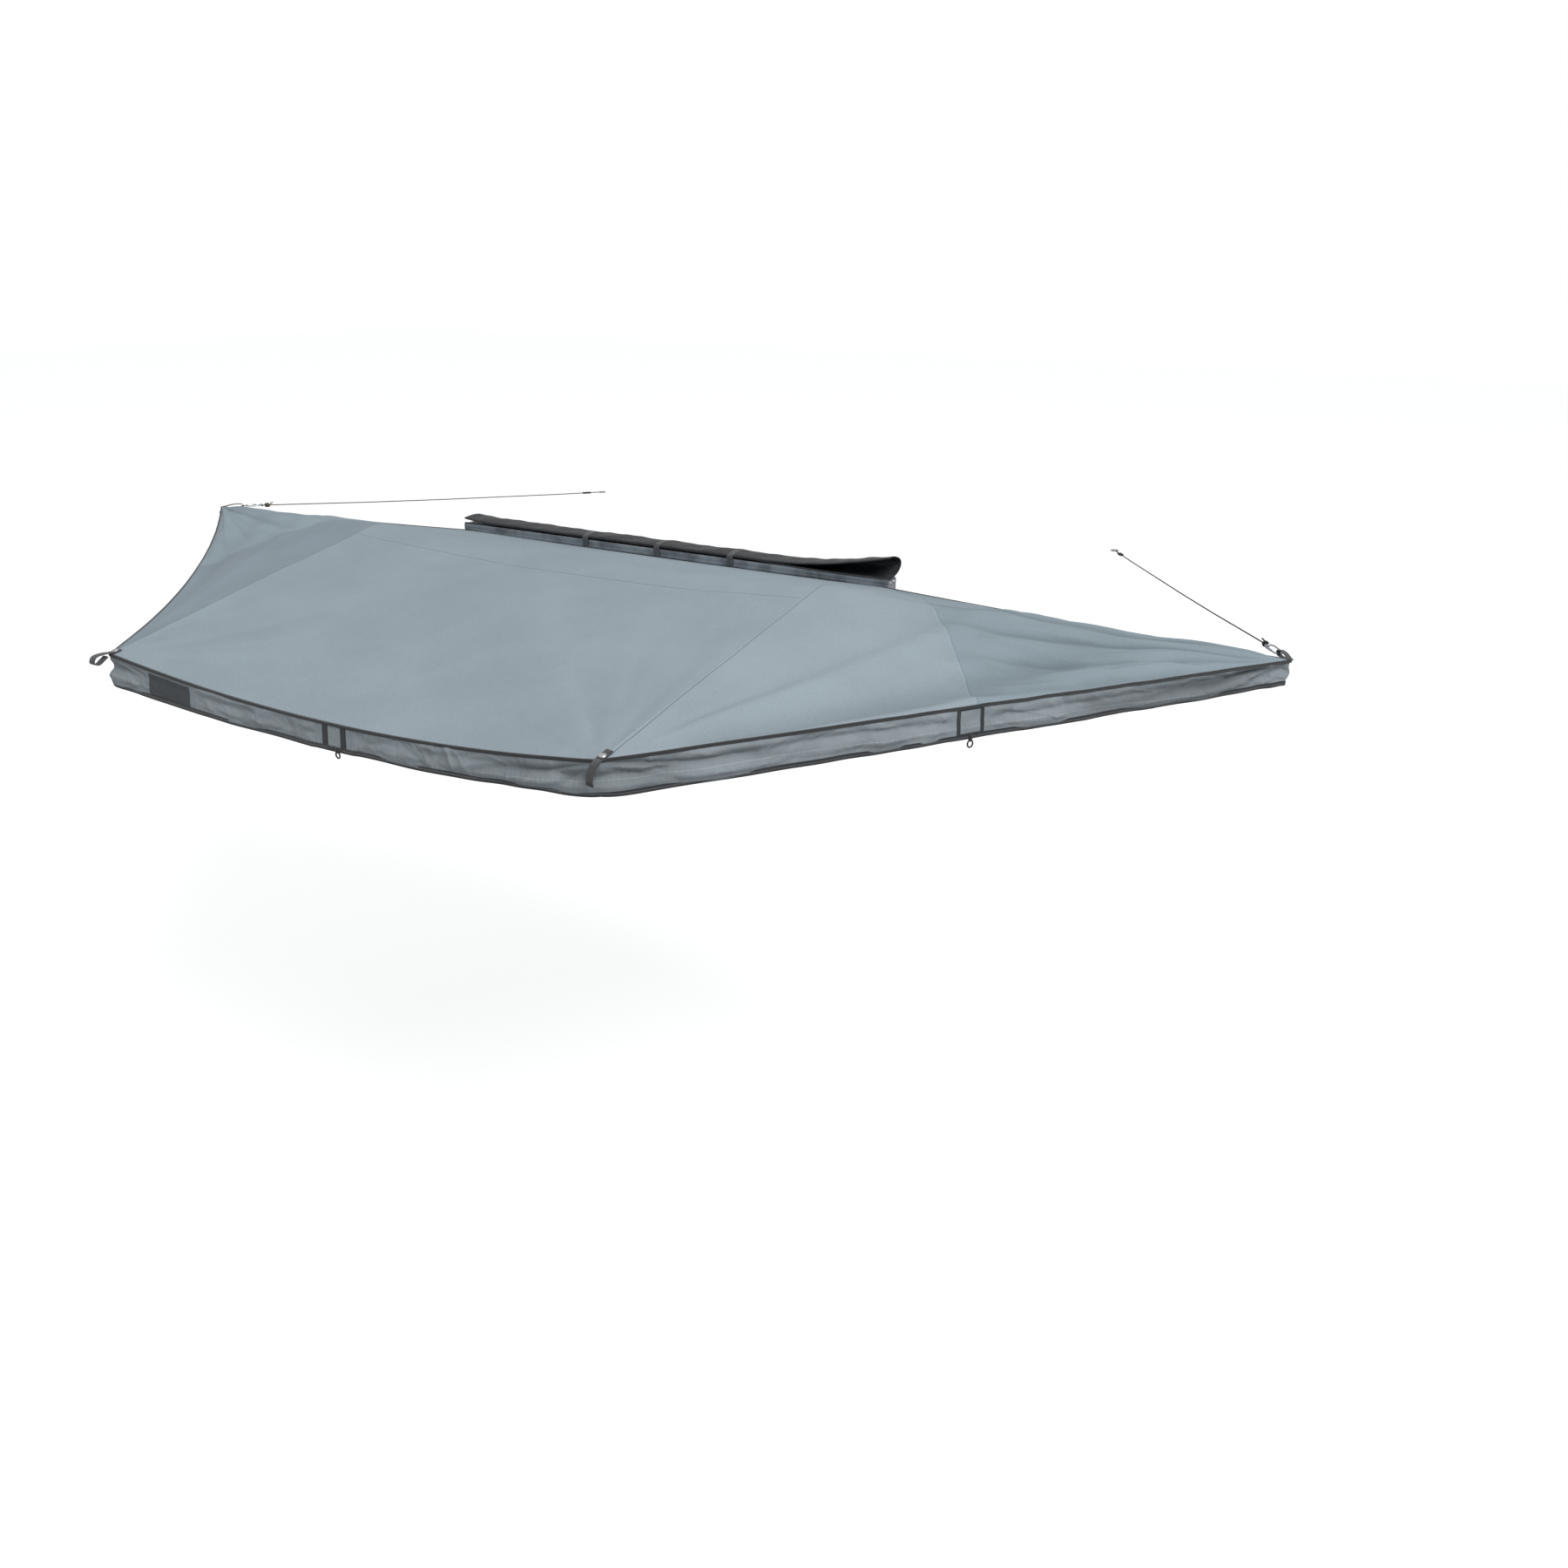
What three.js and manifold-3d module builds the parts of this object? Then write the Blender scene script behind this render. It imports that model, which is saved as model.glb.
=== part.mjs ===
// Free-standing side awning: a rail with a hub at each end, two folding rafters on each hub,
// a stowed telescopic leg under every rafter, a canopy with a valance, and two tension cords.
// Millimetres. +X runs along the rail, -Y points away from the vehicle, +Z is up.
// The origin is the centre of the rail's back face, which bolts to the rack.
import * as THREE from 'three';
import { mergeVertices } from 'three/addons/utils/BufferGeometryUtils.js';
import Module from 'manifold-3d';

const wasm = await Module();
wasm.setup();

// Clearances
const seatGap = 0.3;
const overrun = 3;
const pivotPlay = 0.35;
const roundSides = 20;

// Rail extrusion
const railHalfLength = 960;
const railDepth = 60;
const railTop = 20;
const railBottom = -40;
const railWall = 3;
const canopyGrooveZ = -11;
const coverGrooveInset = 12;
const grooveRadius = 3.6;
const grooveMouth = 3;
const slotMouth = 8;
const slotWidth = 17;
const slotDepth = 6;
const slotLip = 2.5;
const faceLineWidth = 1;
const slotCentreZ = -27;
const backStep = 1;
const backStepZ = -12;

// Rack brackets
const bracketSpacingHalf = 600;
const bracketWidth = 80;
const bracketThickness = 5;
const bracketFootDepth = 74;
const bracketDrop = 78;
const bracketTop = backStepZ - backStep;
const footSlotLength = 34;
const footSlotWidth = 9;
const gussetReach = 38;

// Hubs: two steel plates on a flange, with one pivot bolt for each rafter
const innerPivotInset = 30;
const outerPivotReach = 40;
const flangeInset = 44;
const flangeReach = 16;
const innerPivotX = railHalfLength - innerPivotInset;
const outerPivotX = railHalfLength + outerPivotReach;
const flangeStartX = innerPivotX - flangeInset;
const flangeEndX = outerPivotX + flangeReach;
const flangeTop = -14;
const flangeBottom = -54;
const capTop = 18;
const flangeThickness = 4;
const plateThickness = 4;
const plateGap = 26;
const plateMiddleZ = -34;
const plateRadius = 22;
const knuckleRadius = 17;
const boltRadius = 6;
const boltHeadRadius = 9.5;
const boltHeadHeight = 6;
const boltNutHeight = 8;
const washerRadius = 12;
const washerHeight = 1.5;
const firstLaneGap = 3;
const laneWidth = 30;

// Canopy: plan and heights at the rail, the crest of the cranked rafters and the tips
const sheetThickness = 2;
const canopyInset = 20;
const crestInset = 4;
const tipInset = 62;
const wingReach = 1376;
const canopyEndX = railHalfLength - canopyInset;
const canopyEdgeZ = -10;
const crestX = canopyEndX - crestInset;
const crestOut = 510;
const crestZ = 105;
const tipX = canopyEndX - tipInset;
const tipOut = 1700;
const tipZ = -85;
const frontTipSpread = 45;
const frontTipPull = 32;
const wingTipX = canopyEndX + wingReach;
const wingTipOut = 105;
const wingTipZ = -31;
const railSag = 4;
const crestSag = 30;
const frontSag = 81;
const frontHollow = 30;
const sideSag = 27;
const sideHollow = 60;
const innerSag = 5;
const stripRows = 4;
const panelRows = 8;
const centreColumns = 6;
const wingColumns = 12;

// Valance
const valanceHeight = 98;
const valanceMiddleHeight = 78;
const valanceTipHeight = 73;
const valanceFlare = 9;
const valanceWave = 4;
const centreWaves = 2;
const wingWaves = 4;
const valanceRows = 3;

// Rafters: square aluminium tube
const armWidth = 24;
const armWall = 2;
const armCorner = 3;
const canopyClearance = 4;
const neckLength = 28;
const collarLength = 16;
const plugLength = 34;
const bendRadius = 150;
const bendSteps = 4;
const innerTipInset = 42;
const outerTipInset = 64;

// Telescopic legs
const legRadius = 11;
const legWall = 1.3;
const legPinDrop = 31;
const legPinRadius = 4;
const legPinReach = 7;
const legEyeWidth = 14;
const legCrestRoom = 190;
const legUpperLength = tipOut - crestOut - legCrestRoom;
const legBoreStart = 24;
const legLowerStart = 30;
const legLowerProud = 44;
const legLowerLength = legUpperLength + legLowerProud - legLowerStart;
const clampRadius = 15;
const clampLength = 40;
const clampOverlap = 26;
const clampLeverLength = 34;
const clampLeverWidth = 10;
const clampLeverThickness = 3;
const footRadius = 12.5;
const footLength = 32;
const footFloor = 5;
const footGap = 3;
const earThickness = 4.5;
const tipBlockLength = 14;

// Cover, thrown open on the rail, and its straps
const coverStartInset = 15;
const coverEndReach = 2;
const coverStartX = coverStartInset - railHalfLength;
const coverEndX = railHalfLength + coverEndReach;
const coverDepth = 112;
const coverFrontInset = 56;
const coverThickness = 2.5;
const coverFlatHeight = 22;
const coverMouthHeight = 72;
const coverMouthLength = 570;
const coverTailHeight = 32;
const coverTailLength = 160;
const coverTailOpenShare = 0.4;
const coverClosedTurn = 165;
const coverOpenTurn = 90;
const coverColumns = 20;
const coverRows = 10;
const strapWidth = 26;
const strapThickness = 1.8;
const strapPlaces = [-343, -8, 318];
const strapAngles = [75, 95, 115, 135, 150, 163];

// Webbing loops at the rafter tips
const loopWidth = 25;
const cordLoopWidth = 16;
const loopThickness = 2.2;
const loopGapAboveSheet = 0.5;
const cordLoopReach = 93;
const loopSteps = 16;

// Tension cords
const cordRadius = 2.25;
const cordQuarterSteps = 4;
const cordSteps = 28;
const hookWire = 2.6;
const hookLength = 96;
const hookHalfWidth = 15;
const runnerLength = 44;
const runnerWidth = 16;
const runnerThickness = 7;
const ringRadius = 15;
const ringWire = 2.8;
const tubeSides = 8;
const ringSteps = 16;
const hookSquareness = 0.5;
const ringSquareness = 1;
const runnerPlace = 0.4;
const frontCordPoints = [
  [2227, -9, -37], [2167, 96, -44], [2107, 201, -51], [2047, 306, -58], [1987, 411, -65],
  [1927, 516, -71], [1867, 621, -77], [1807, 727, -83], [1747, 832, -88], [1687, 937, -93],
  [1627, 1042, -98], [1567, 1147, -103], [1507, 1252, -108], [1447, 1357, -112], [1387, 1462, -116],
];

const materials = {
  canvas: new THREE.MeshStandardMaterial({ color: 0x93a0a8, roughness: 0.9, metalness: 0 }),
  cover: new THREE.MeshStandardMaterial({ color: 0x2b2d31, roughness: 0.55, metalness: 0 }),
  webbing: new THREE.MeshStandardMaterial({ color: 0x3c3f42, roughness: 0.85, metalness: 0 }),
  aluminium: new THREE.MeshStandardMaterial({ color: 0xb9bec2, roughness: 0.35, metalness: 1 }),
  rafter: new THREE.MeshStandardMaterial({ color: 0xa9aeb2, roughness: 0.4, metalness: 1 }),
  steel: new THREE.MeshStandardMaterial({ color: 0xc6cacd, roughness: 0.3, metalness: 1 }),
  coated: new THREE.MeshStandardMaterial({ color: 0x1d1e20, roughness: 0.5, metalness: 0.4 }),
  plastic: new THREE.MeshStandardMaterial({ color: 0x17181a, roughness: 0.5, metalness: 0 }),
  rubber: new THREE.MeshStandardMaterial({ color: 0x141414, roughness: 0.9, metalness: 0 }),
  blackCord: new THREE.MeshStandardMaterial({ color: 0x1a1b1c, roughness: 0.8, metalness: 0 }),
  tanCord: new THREE.MeshStandardMaterial({ color: 0x6d6a54, roughness: 0.8, metalness: 0 }),
};

// Places and lanes that follow from the sizes above
const canopyEdgeY = -railDepth - seatGap;
const upperPlateZ = plateMiddleZ + plateGap / 2;
const lowerPlateZ = plateMiddleZ - plateGap / 2;
const flangeY = -railDepth - seatGap - flangeThickness;
const firstLaneY = flangeY - firstLaneGap - knuckleRadius;
const armDrop = sheetThickness + canopyClearance + armWidth / 2;
const up = new THREE.Vector3(0, 0, 1);

const awning = new THREE.Group();

// Adds one named mesh to a group
function place(name, geometry, material, parent = awning) {
  const mesh = new THREE.Mesh(geometry, material);
  mesh.name = name;
  parent.add(mesh);
  return mesh;
}

// Solids: joins and cuts of closed three.js geometries
function toSolid(geometry) {
  const bare = geometry.index ? geometry.toNonIndexed() : geometry.clone();
  bare.deleteAttribute('normal');
  bare.deleteAttribute('uv');
  const merged = mergeVertices(bare);
  const vertProperties = Float32Array.from(merged.attributes.position.array);
  const triVerts = Uint32Array.from(merged.index.array);
  return new wasm.Manifold(new wasm.Mesh({ numProp: 3, vertProperties, triVerts }));
}

function toGeometry(solid) {
  const mesh = solid.getMesh();
  const geometry = new THREE.BufferGeometry();
  geometry.setAttribute('position', new THREE.BufferAttribute(Float32Array.from(mesh.vertProperties), 3));
  geometry.setIndex(Array.from(mesh.triVerts));
  geometry.computeVertexNormals();
  return geometry;
}

function joined(...geometries) {
  const solids = geometries.map(toSolid);
  return toGeometry(solids.reduce((all, next) => all.add(next)));
}

function cut(geometry, ...cutters) {
  const solids = cutters.map(toSolid);
  return toGeometry(solids.reduce((rest, next) => rest.subtract(next), toSolid(geometry)));
}

// A box between two corners
function block(low, high) {
  const [x0, y0, z0] = low;
  const [x1, y1, z1] = high;
  const geometry = new THREE.BoxGeometry(x1 - x0, y1 - y0, z1 - z0);
  return geometry.translate((x0 + x1) / 2, (y0 + y1) / 2, (z0 + z1) / 2);
}

// A round bar along X, Y or Z from one end to the other
function bar(axis, radius, start, end, sides = roundSides) {
  const geometry = new THREE.CylinderGeometry(radius, radius, end - start, sides);
  geometry.translate(0, (start + end) / 2, 0);
  if (axis === 'x') geometry.rotateZ(-Math.PI / 2);
  if (axis === 'z') geometry.rotateX(Math.PI / 2);
  return geometry;
}

// Turns a geometry's left and right round, with its faces still pointing out
function mirroredX(geometry) {
  const flipped = geometry.clone().scale(-1, 1, 1);
  const index = Array.from(flipped.index.array);
  for (let i = 0; i < index.length; i += 3) {
    [index[i], index[i + 1]] = [index[i + 1], index[i]];
  }
  flipped.setIndex(index);
  flipped.computeVertexNormals();
  return flipped;
}

function signedVolume(positions, triangles) {
  const corner = (i) => new THREE.Vector3().fromArray(positions, 3 * i);
  return triangles.reduce((sum, [a, b, c]) => sum + corner(a).dot(corner(b).cross(corner(c))), 0);
}

// A closed skin between two surfaces that share their rows and columns
function skin(columns, rows, outer, inner) {
  const positions = [];
  for (const surface of [outer, inner]) {
    for (let row = 0; row <= rows; row += 1) {
      for (let column = 0; column <= columns; column += 1) {
        positions.push(...surface(column, row).toArray());
      }
    }
  }
  const across = columns + 1;
  const sheetSize = across * (rows + 1);
  const at = (side, column, row) => side * sheetSize + row * across + column;
  const quads = [];
  for (let row = 0; row < rows; row += 1) {
    for (let column = 0; column < columns; column += 1) {
      const next = column + 1;
      const below = row + 1;
      quads.push([at(0, column, row), at(0, next, row), at(0, next, below), at(0, column, below)]);
      quads.push([at(1, column, row), at(1, column, below), at(1, next, below), at(1, next, row)]);
    }
  }
  for (let column = 0; column < columns; column += 1) {
    quads.push([at(0, column, 0), at(1, column, 0), at(1, column + 1, 0), at(0, column + 1, 0)]);
    quads.push([at(0, column, rows), at(0, column + 1, rows), at(1, column + 1, rows), at(1, column, rows)]);
  }
  for (let row = 0; row < rows; row += 1) {
    quads.push([at(0, 0, row), at(0, 0, row + 1), at(1, 0, row + 1), at(1, 0, row)]);
    quads.push([at(0, columns, row), at(1, columns, row), at(1, columns, row + 1), at(0, columns, row + 1)]);
  }
  return closedFromQuads(positions, quads);
}

// Merges the corners of a list of quads, drops the ones that collapse, and points the faces out
function closedFromQuads(positions, quads) {
  const raw = new THREE.BufferGeometry();
  raw.setAttribute('position', new THREE.Float32BufferAttribute(positions, 3));
  raw.setIndex(quads.flatMap(([a, b, c, d]) => [a, b, c, a, c, d]));
  const merged = mergeVertices(raw);
  const index = merged.index.array;
  const triangles = [];
  for (let i = 0; i < index.length; i += 3) {
    const [a, b, c] = [index[i], index[i + 1], index[i + 2]];
    if (a !== b && b !== c && a !== c) triangles.push([a, b, c]);
  }
  const outward = signedVolume(merged.attributes.position.array, triangles) > 0;
  const geometry = new THREE.BufferGeometry();
  geometry.setAttribute('position', merged.attributes.position);
  geometry.setIndex(triangles.flatMap(([a, b, c]) => (outward ? [a, b, c] : [b, a, c])));
  geometry.computeVertexNormals();
  return geometry;
}

// Rail: a box extrusion with two keder grooves on top and a T-slot at the back and below
function railGeometry() {
  const end = railHalfLength + overrun;
  const body = block([-railHalfLength, -railDepth, railBottom], [railHalfLength, 0, railTop]);
  const depth = railWall + grooveRadius;
  const grooves = [
    bar('x', grooveRadius, -end, end, tubeSides).translate(0, depth - railDepth, canopyGrooveZ),
    bar('x', grooveRadius, -end, end, tubeSides).translate(0, -coverGrooveInset, railTop - depth),
    block(
      [-end, -railDepth - overrun, canopyGrooveZ - grooveMouth / 2],
      [end, depth - railDepth, canopyGrooveZ + grooveMouth / 2],
    ),
    block(
      [-end, -coverGrooveInset - grooveMouth / 2, railTop - depth],
      [end, -coverGrooveInset + grooveMouth / 2, railTop + overrun],
    ),
  ];
  const slotZ = slotCentreZ;
  const slotTop = -backStep - slotLip;
  const slotFloor = slotTop - slotDepth;
  const backSlot = [
    block([-end, -backStep, railBottom - overrun], [end, overrun, backStepZ]),
    block([-end, slotFloor, slotZ - slotWidth / 2], [end, slotTop, slotZ + slotWidth / 2]),
    block([-end, slotFloor, slotZ - slotMouth / 2], [end, overrun, slotZ + slotMouth / 2]),
  ];
  const cellFront = 2 * depth - railDepth;
  const cellBack = slotFloor - railWall;
  const lowerCell = block([-end, cellFront, railBottom + railWall], [end, cellBack, -railWall / 2]);
  const cellMiddle = cellFront + railDepth / 3;
  const upperCell = block([-end, railWall - railDepth, railWall / 2], [end, cellMiddle, railTop - railWall]);
  const lineTop = canopyGrooveZ + depth * 2;
  const line = block(
    [-end, -railDepth - overrun, lineTop - faceLineWidth],
    [end, faceLineWidth - railDepth, lineTop],
  );
  return cut(body, ...grooves, ...backSlot, lowerCell, upperCell, line);
}

// Rack bracket: a folded steel angle with a gusset, oblong foot holes and a T-bolt in the rail's slot
function bracketGeometry(x) {
  const half = bracketWidth / 2;
  const face = seatGap - backStep;
  const wallBack = face + bracketThickness;
  const footTop = bracketThickness - bracketDrop;
  const wall = block([x - half, face, -bracketDrop], [x + half, wallBack, bracketTop]);
  const foot = block([x - half, face, -bracketDrop], [x + half, face + bracketFootDepth, footTop]);
  const gussetShape = new THREE.Shape();
  gussetShape.moveTo(face + bracketThickness / 2, footTop - bracketThickness / 2);
  gussetShape.lineTo(wallBack + gussetReach, footTop - bracketThickness / 2);
  gussetShape.lineTo(face + bracketThickness / 2, footTop + gussetReach);
  const gusset = new THREE.ExtrudeGeometry(gussetShape, { depth: bracketThickness, bevelEnabled: false });
  gusset.translate(0, 0, -bracketThickness / 2);
  gusset.applyMatrix4(new THREE.Matrix4().set(0, 0, 1, x, 1, 0, 0, 0, 0, 1, 0, 0, 0, 0, 0, 1));
  const slotZ = slotCentreZ;
  const slotTop = -backStep - slotLip;
  const stud = bar('y', slotMouth / 2 - seatGap, slotTop - slotDepth / 2, wallBack, tubeSides);
  stud.translate(x, 0, slotZ);
  const headHalf = slotWidth / 2 - seatGap;
  const headLow = slotTop - slotDepth + seatGap;
  const headTop = slotTop - seatGap;
  const head = block([x - headHalf, headLow, slotZ - headHalf], [x + headHalf, headTop, slotZ + headHalf]);
  const nut = bar('y', boltHeadRadius, wallBack - bracketThickness / 2, wallBack + boltHeadHeight, 6);
  nut.translate(x, 0, slotZ);
  const shifts = [-half / 2, half / 2];
  const slots = shifts.map((shift) => {
    const middle = face + bracketFootDepth - footSlotLength / 2 - bracketThickness * 2;
    return block(
      [x + shift - footSlotWidth / 2, middle - footSlotLength / 2, -bracketDrop - overrun],
      [x + shift + footSlotWidth / 2, middle + footSlotLength / 2, footTop + overrun],
    );
  });
  return cut(joined(wall, foot, gusset, stud, head, nut), ...slots);
}

// Where the rafters of one side turn: the lanes let all four lie side by side along the rail
function pivotPlace(side, role) {
  const lane = side.firstLane + (role === 'outer' ? 2 : 0);
  const x = role === 'outer' ? outerPivotX : innerPivotX;
  return new THREE.Vector3(side.sign * x, firstLaneY - lane * laneWidth, plateMiddleZ);
}

// Hub plate: round lobes at both pivots, and a neck to the flange
function hubPlate(innerPivot, outerPivot, z) {
  const outline = (x0, y0, x1, y1, width) => {
    const along = new THREE.Vector2(x1 - x0, y1 - y0).normalize();
    const turn = Math.atan2(along.y, along.x);
    const shape = new THREE.Shape();
    shape.absarc(x0, y0, width, turn + Math.PI / 2, turn + Math.PI * 1.5, false);
    shape.absarc(x1, y1, width, turn - Math.PI / 2, turn + Math.PI / 2, false);
    shape.closePath();
    return shape;
  };
  const solidFrom = (shape) => {
    const options = { depth: plateThickness, bevelEnabled: false, curveSegments: 10 };
    return new THREE.ExtrudeGeometry(shape, options).translate(0, 0, z);
  };
  const link = solidFrom(outline(innerPivot.x, innerPivot.y, outerPivot.x, outerPivot.y, plateRadius));
  const neck = new THREE.Shape();
  neck.moveTo(flangeStartX + plateRadius, flangeY + flangeThickness / 2);
  neck.lineTo(innerPivot.x - plateRadius * 0.8, innerPivot.y + plateRadius * 0.6);
  neck.lineTo(innerPivot.x, innerPivot.y);
  neck.lineTo(outerPivot.x, outerPivot.y);
  neck.lineTo(outerPivot.x + plateRadius, outerPivot.y);
  neck.lineTo(flangeEndX, flangeY + flangeThickness / 2);
  return joined(link, solidFrom(neck));
}

// Hub bracket: flange on the rail, a cap plate over the rail's end and the two plates
function hubGeometry(side) {
  const mirrored = (vector) => new THREE.Vector3(Math.abs(vector.x), vector.y, vector.z);
  const innerPivot = mirrored(pivotPlace(side, 'inner'));
  const outerPivot = mirrored(pivotPlace(side, 'outer'));
  const flangeBack = flangeY + flangeThickness;
  const flange = block([flangeStartX, flangeY, flangeBottom], [flangeEndX, flangeBack, flangeTop]);
  const capStart = railHalfLength + seatGap;
  const capEnd = capStart + plateThickness;
  const cap = joined(
    block([capStart, flangeY, flangeBottom], [capEnd, -seatGap, flangeTop]),
    block([capStart, flangeBack, flangeTop - overrun], [capEnd, -seatGap, capTop]),
  );
  const plates = [upperPlateZ, lowerPlateZ - plateThickness].map((z) => hubPlate(innerPivot, outerPivot, z));
  const holes = [innerPivot, outerPivot].map((pivot) => {
    const hole = bar('z', boltRadius + pivotPlay, -plateGap, plateGap);
    return hole.translate(pivot.x, pivot.y, plateMiddleZ);
  });
  const whole = cut(joined(flange, cap, ...plates), ...holes);
  return side.sign > 0 ? whole : mirroredX(whole);
}

// Pivot bolt: head and washer on the upper plate, nut and washer under the lower one
function boltGeometry(pivot) {
  const top = upperPlateZ + plateThickness + seatGap;
  const bottom = lowerPlateZ - plateThickness - seatGap;
  const shaft = bar('z', boltRadius, bottom - boltNutHeight - boltHeadHeight / 2, top + boltHeadHeight / 2);
  const washers = [
    bar('z', washerRadius, top, top + washerHeight),
    bar('z', washerRadius, bottom - washerHeight, bottom),
  ];
  const head = bar('z', boltHeadRadius, top + washerHeight / 2, top + boltHeadHeight, 6);
  const nut = bar('z', boltHeadRadius, bottom - boltNutHeight, bottom - washerHeight / 2, 6);
  return joined(shaft, ...washers, head, nut).translate(pivot.x, pivot.y, 0);
}

// Canopy corners on one side, on top of the cloth
function canopyCorner(side, corner) {
  const outline = {
    hub: [canopyEndX, 0, canopyEdgeZ],
    crest: [crestX, crestOut, crestZ],
    tip: [tipX + side.tipSpread, tipOut - side.tipPull, tipZ],
    wingTip: [wingTipX, wingTipOut, wingTipZ],
  };
  const [x, out, z] = outline[corner];
  return new THREE.Vector3(side.sign * x, canopyEdgeY - out, z);
}

// How steeply the main panel falls from the crest to a tip
function panelFall(side) {
  return (crestZ - tipZ) / (tipOut - side.tipPull - crestOut);
}

// How far a row lies from the crest to the front edge
function panelShare(row) {
  return THREE.MathUtils.clamp((row - stripRows) / panelRows, 0, 1);
}

// The seam over the cranked rafter: rows from the rail to the crest, then on to the tip
function seamPoint(side, row) {
  if (row <= stripRows) {
    return canopyCorner(side, 'hub').lerp(canopyCorner(side, 'crest'), row / stripRows);
  }
  return canopyCorner(side, 'crest').lerp(canopyCorner(side, 'tip'), panelShare(row));
}

// Half of the centre panel: column 0 lies at the seam, the last one at the middle
function centrePoint(side, column, row) {
  const out = 1 - column / centreColumns;
  const bow = 1 - out * out;
  const point = seamPoint(side, row);
  const share = panelShare(row);
  const stripSag = THREE.MathUtils.lerp(railSag, crestSag, row / stripRows);
  const sag = row <= stripRows ? stripSag : THREE.MathUtils.lerp(crestSag, frontSag, share);
  point.x = side.sign * (Math.abs(point.x) - seatGap) * out + side.sign * (seatGap / 2);
  point.y += frontHollow * share * share * bow;
  point.y -= side.sign * (frontTipPull / 2) * share * (1 - out);
  point.z -= sag * bow;
  return point;
}

// Wing: straight lines from the seam to the outer tip, which sag and are cut hollow at the edge
function wingPoint(side, column, row) {
  const along = column / wingColumns;
  const bow = 4 * along * (1 - along);
  const share = panelShare(row);
  const tip = canopyCorner(side, 'wingTip');
  const start = seamPoint(side, row);
  start.x += side.sign * (seatGap / 2);
  const inner = 1 - Math.min(1, row / stripRows);
  const edge = canopyCorner(side, 'wingTip').sub(canopyCorner(side, 'tip'));
  const inward = new THREE.Vector3(-side.sign * Math.abs(edge.y), Math.abs(edge.x), 0).normalize();
  const point = start.lerp(tip, along);
  point.addScaledVector(inward, sideHollow * bow * share * share);
  point.z -= bow * (sideSag * share + innerSag * inner);
  return point;
}

// Level direction that points out of the canopy along one of its outer edges
function edgeNormal(surface, side, column, columns) {
  const row = stripRows + panelRows;
  const before = surface(side, Math.max(0, column - 1), row);
  const after = surface(side, Math.min(columns, column + 1), row);
  const along = after.sub(before);
  const normal = new THREE.Vector3(along.y, -along.x, 0).normalize();
  return normal.y > 0 ? normal.negate() : normal;
}

function cornerNormal(side) {
  const centre = edgeNormal(centrePoint, side, 0, centreColumns);
  return centre.add(edgeNormal(wingPoint, side, 0, wingColumns)).normalize();
}

// Cloth from its inner edge to the outer edge, and on down the valance
function clothGeometry(surface, side, columns, heightAt, waves) {
  const clothRows = stripRows + panelRows;
  const normalAt = (column) => {
    if (column === 0) return cornerNormal(side);
    return edgeNormal(surface, side, column, columns);
  };
  const outer = (column, row) => {
    if (row <= clothRows) return surface(side, column, row);
    const depth = (row - clothRows) / valanceRows;
    const wave = valanceWave * Math.sin(2 * Math.PI * waves * (column / columns)) * depth;
    const point = surface(side, column, clothRows);
    point.addScaledVector(normalAt(column), valanceFlare * depth + wave);
    point.z -= heightAt(column / columns) * depth;
    return point;
  };
  const inner = (column, row) => {
    const point = outer(column, row);
    if (row >= clothRows) point.addScaledVector(normalAt(column), -sheetThickness);
    if (row <= clothRows) point.z -= sheetThickness;
    return point;
  };
  return skin(columns, clothRows + valanceRows, outer, inner);
}

function centreGeometry(side) {
  const height = (along) => THREE.MathUtils.lerp(valanceHeight, valanceMiddleHeight, along * (2 - along));
  return clothGeometry(centrePoint, side, centreColumns, height, centreWaves);
}

function wingGeometry(side) {
  const height = (along) => THREE.MathUtils.lerp(valanceHeight, valanceTipHeight, along * along);
  return clothGeometry(wingPoint, side, wingColumns, height, wingWaves);
}

// A path whose steps fall on its own stations, so a bend gets its steps and a straight run one
class StationPath extends THREE.Curve {
  constructor(stations) {
    super();
    this.stations = stations;
  }

  getPoint(t, target = new THREE.Vector3()) {
    const place = t * (this.stations.length - 1);
    const first = Math.min(Math.floor(place), this.stations.length - 2);
    return target.copy(this.stations[first]).lerp(this.stations[first + 1], place - first);
  }

  getPointAt(u, target) {
    return this.getPoint(u, target);
  }

  getTangentAt(u, target = new THREE.Vector3()) {
    const count = this.stations.length - 1;
    const index = Math.round(u * count);
    const before = this.stations[Math.max(0, index - 1)];
    const after = this.stations[Math.min(count, index + 1)];
    return target.copy(after).sub(before).normalize();
  }
}

function roundedSquare(width, corner) {
  const half = width / 2;
  const shape = new THREE.Shape();
  const turns = [[1, 1, 0], [-1, 1, 1], [-1, -1, 2], [1, -1, 3]];
  turns.forEach(([sx, sy, quarter]) => {
    const start = (quarter * Math.PI) / 2;
    shape.absarc(sx * (half - corner), sy * (half - corner), corner, start, start + Math.PI / 2, false);
  });
  shape.closePath();
  return shape;
}

function armTubeGeometry(stations) {
  const section = roundedSquare(armWidth, armCorner);
  section.holes.push(roundedSquare(armWidth - 2 * armWall, armCorner - armWall));
  const path = new StationPath(stations);
  const options = { steps: stations.length - 1, extrudePath: path, curveSegments: 2, bevelEnabled: false };
  return new THREE.ExtrudeGeometry(section, options);
}

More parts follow.
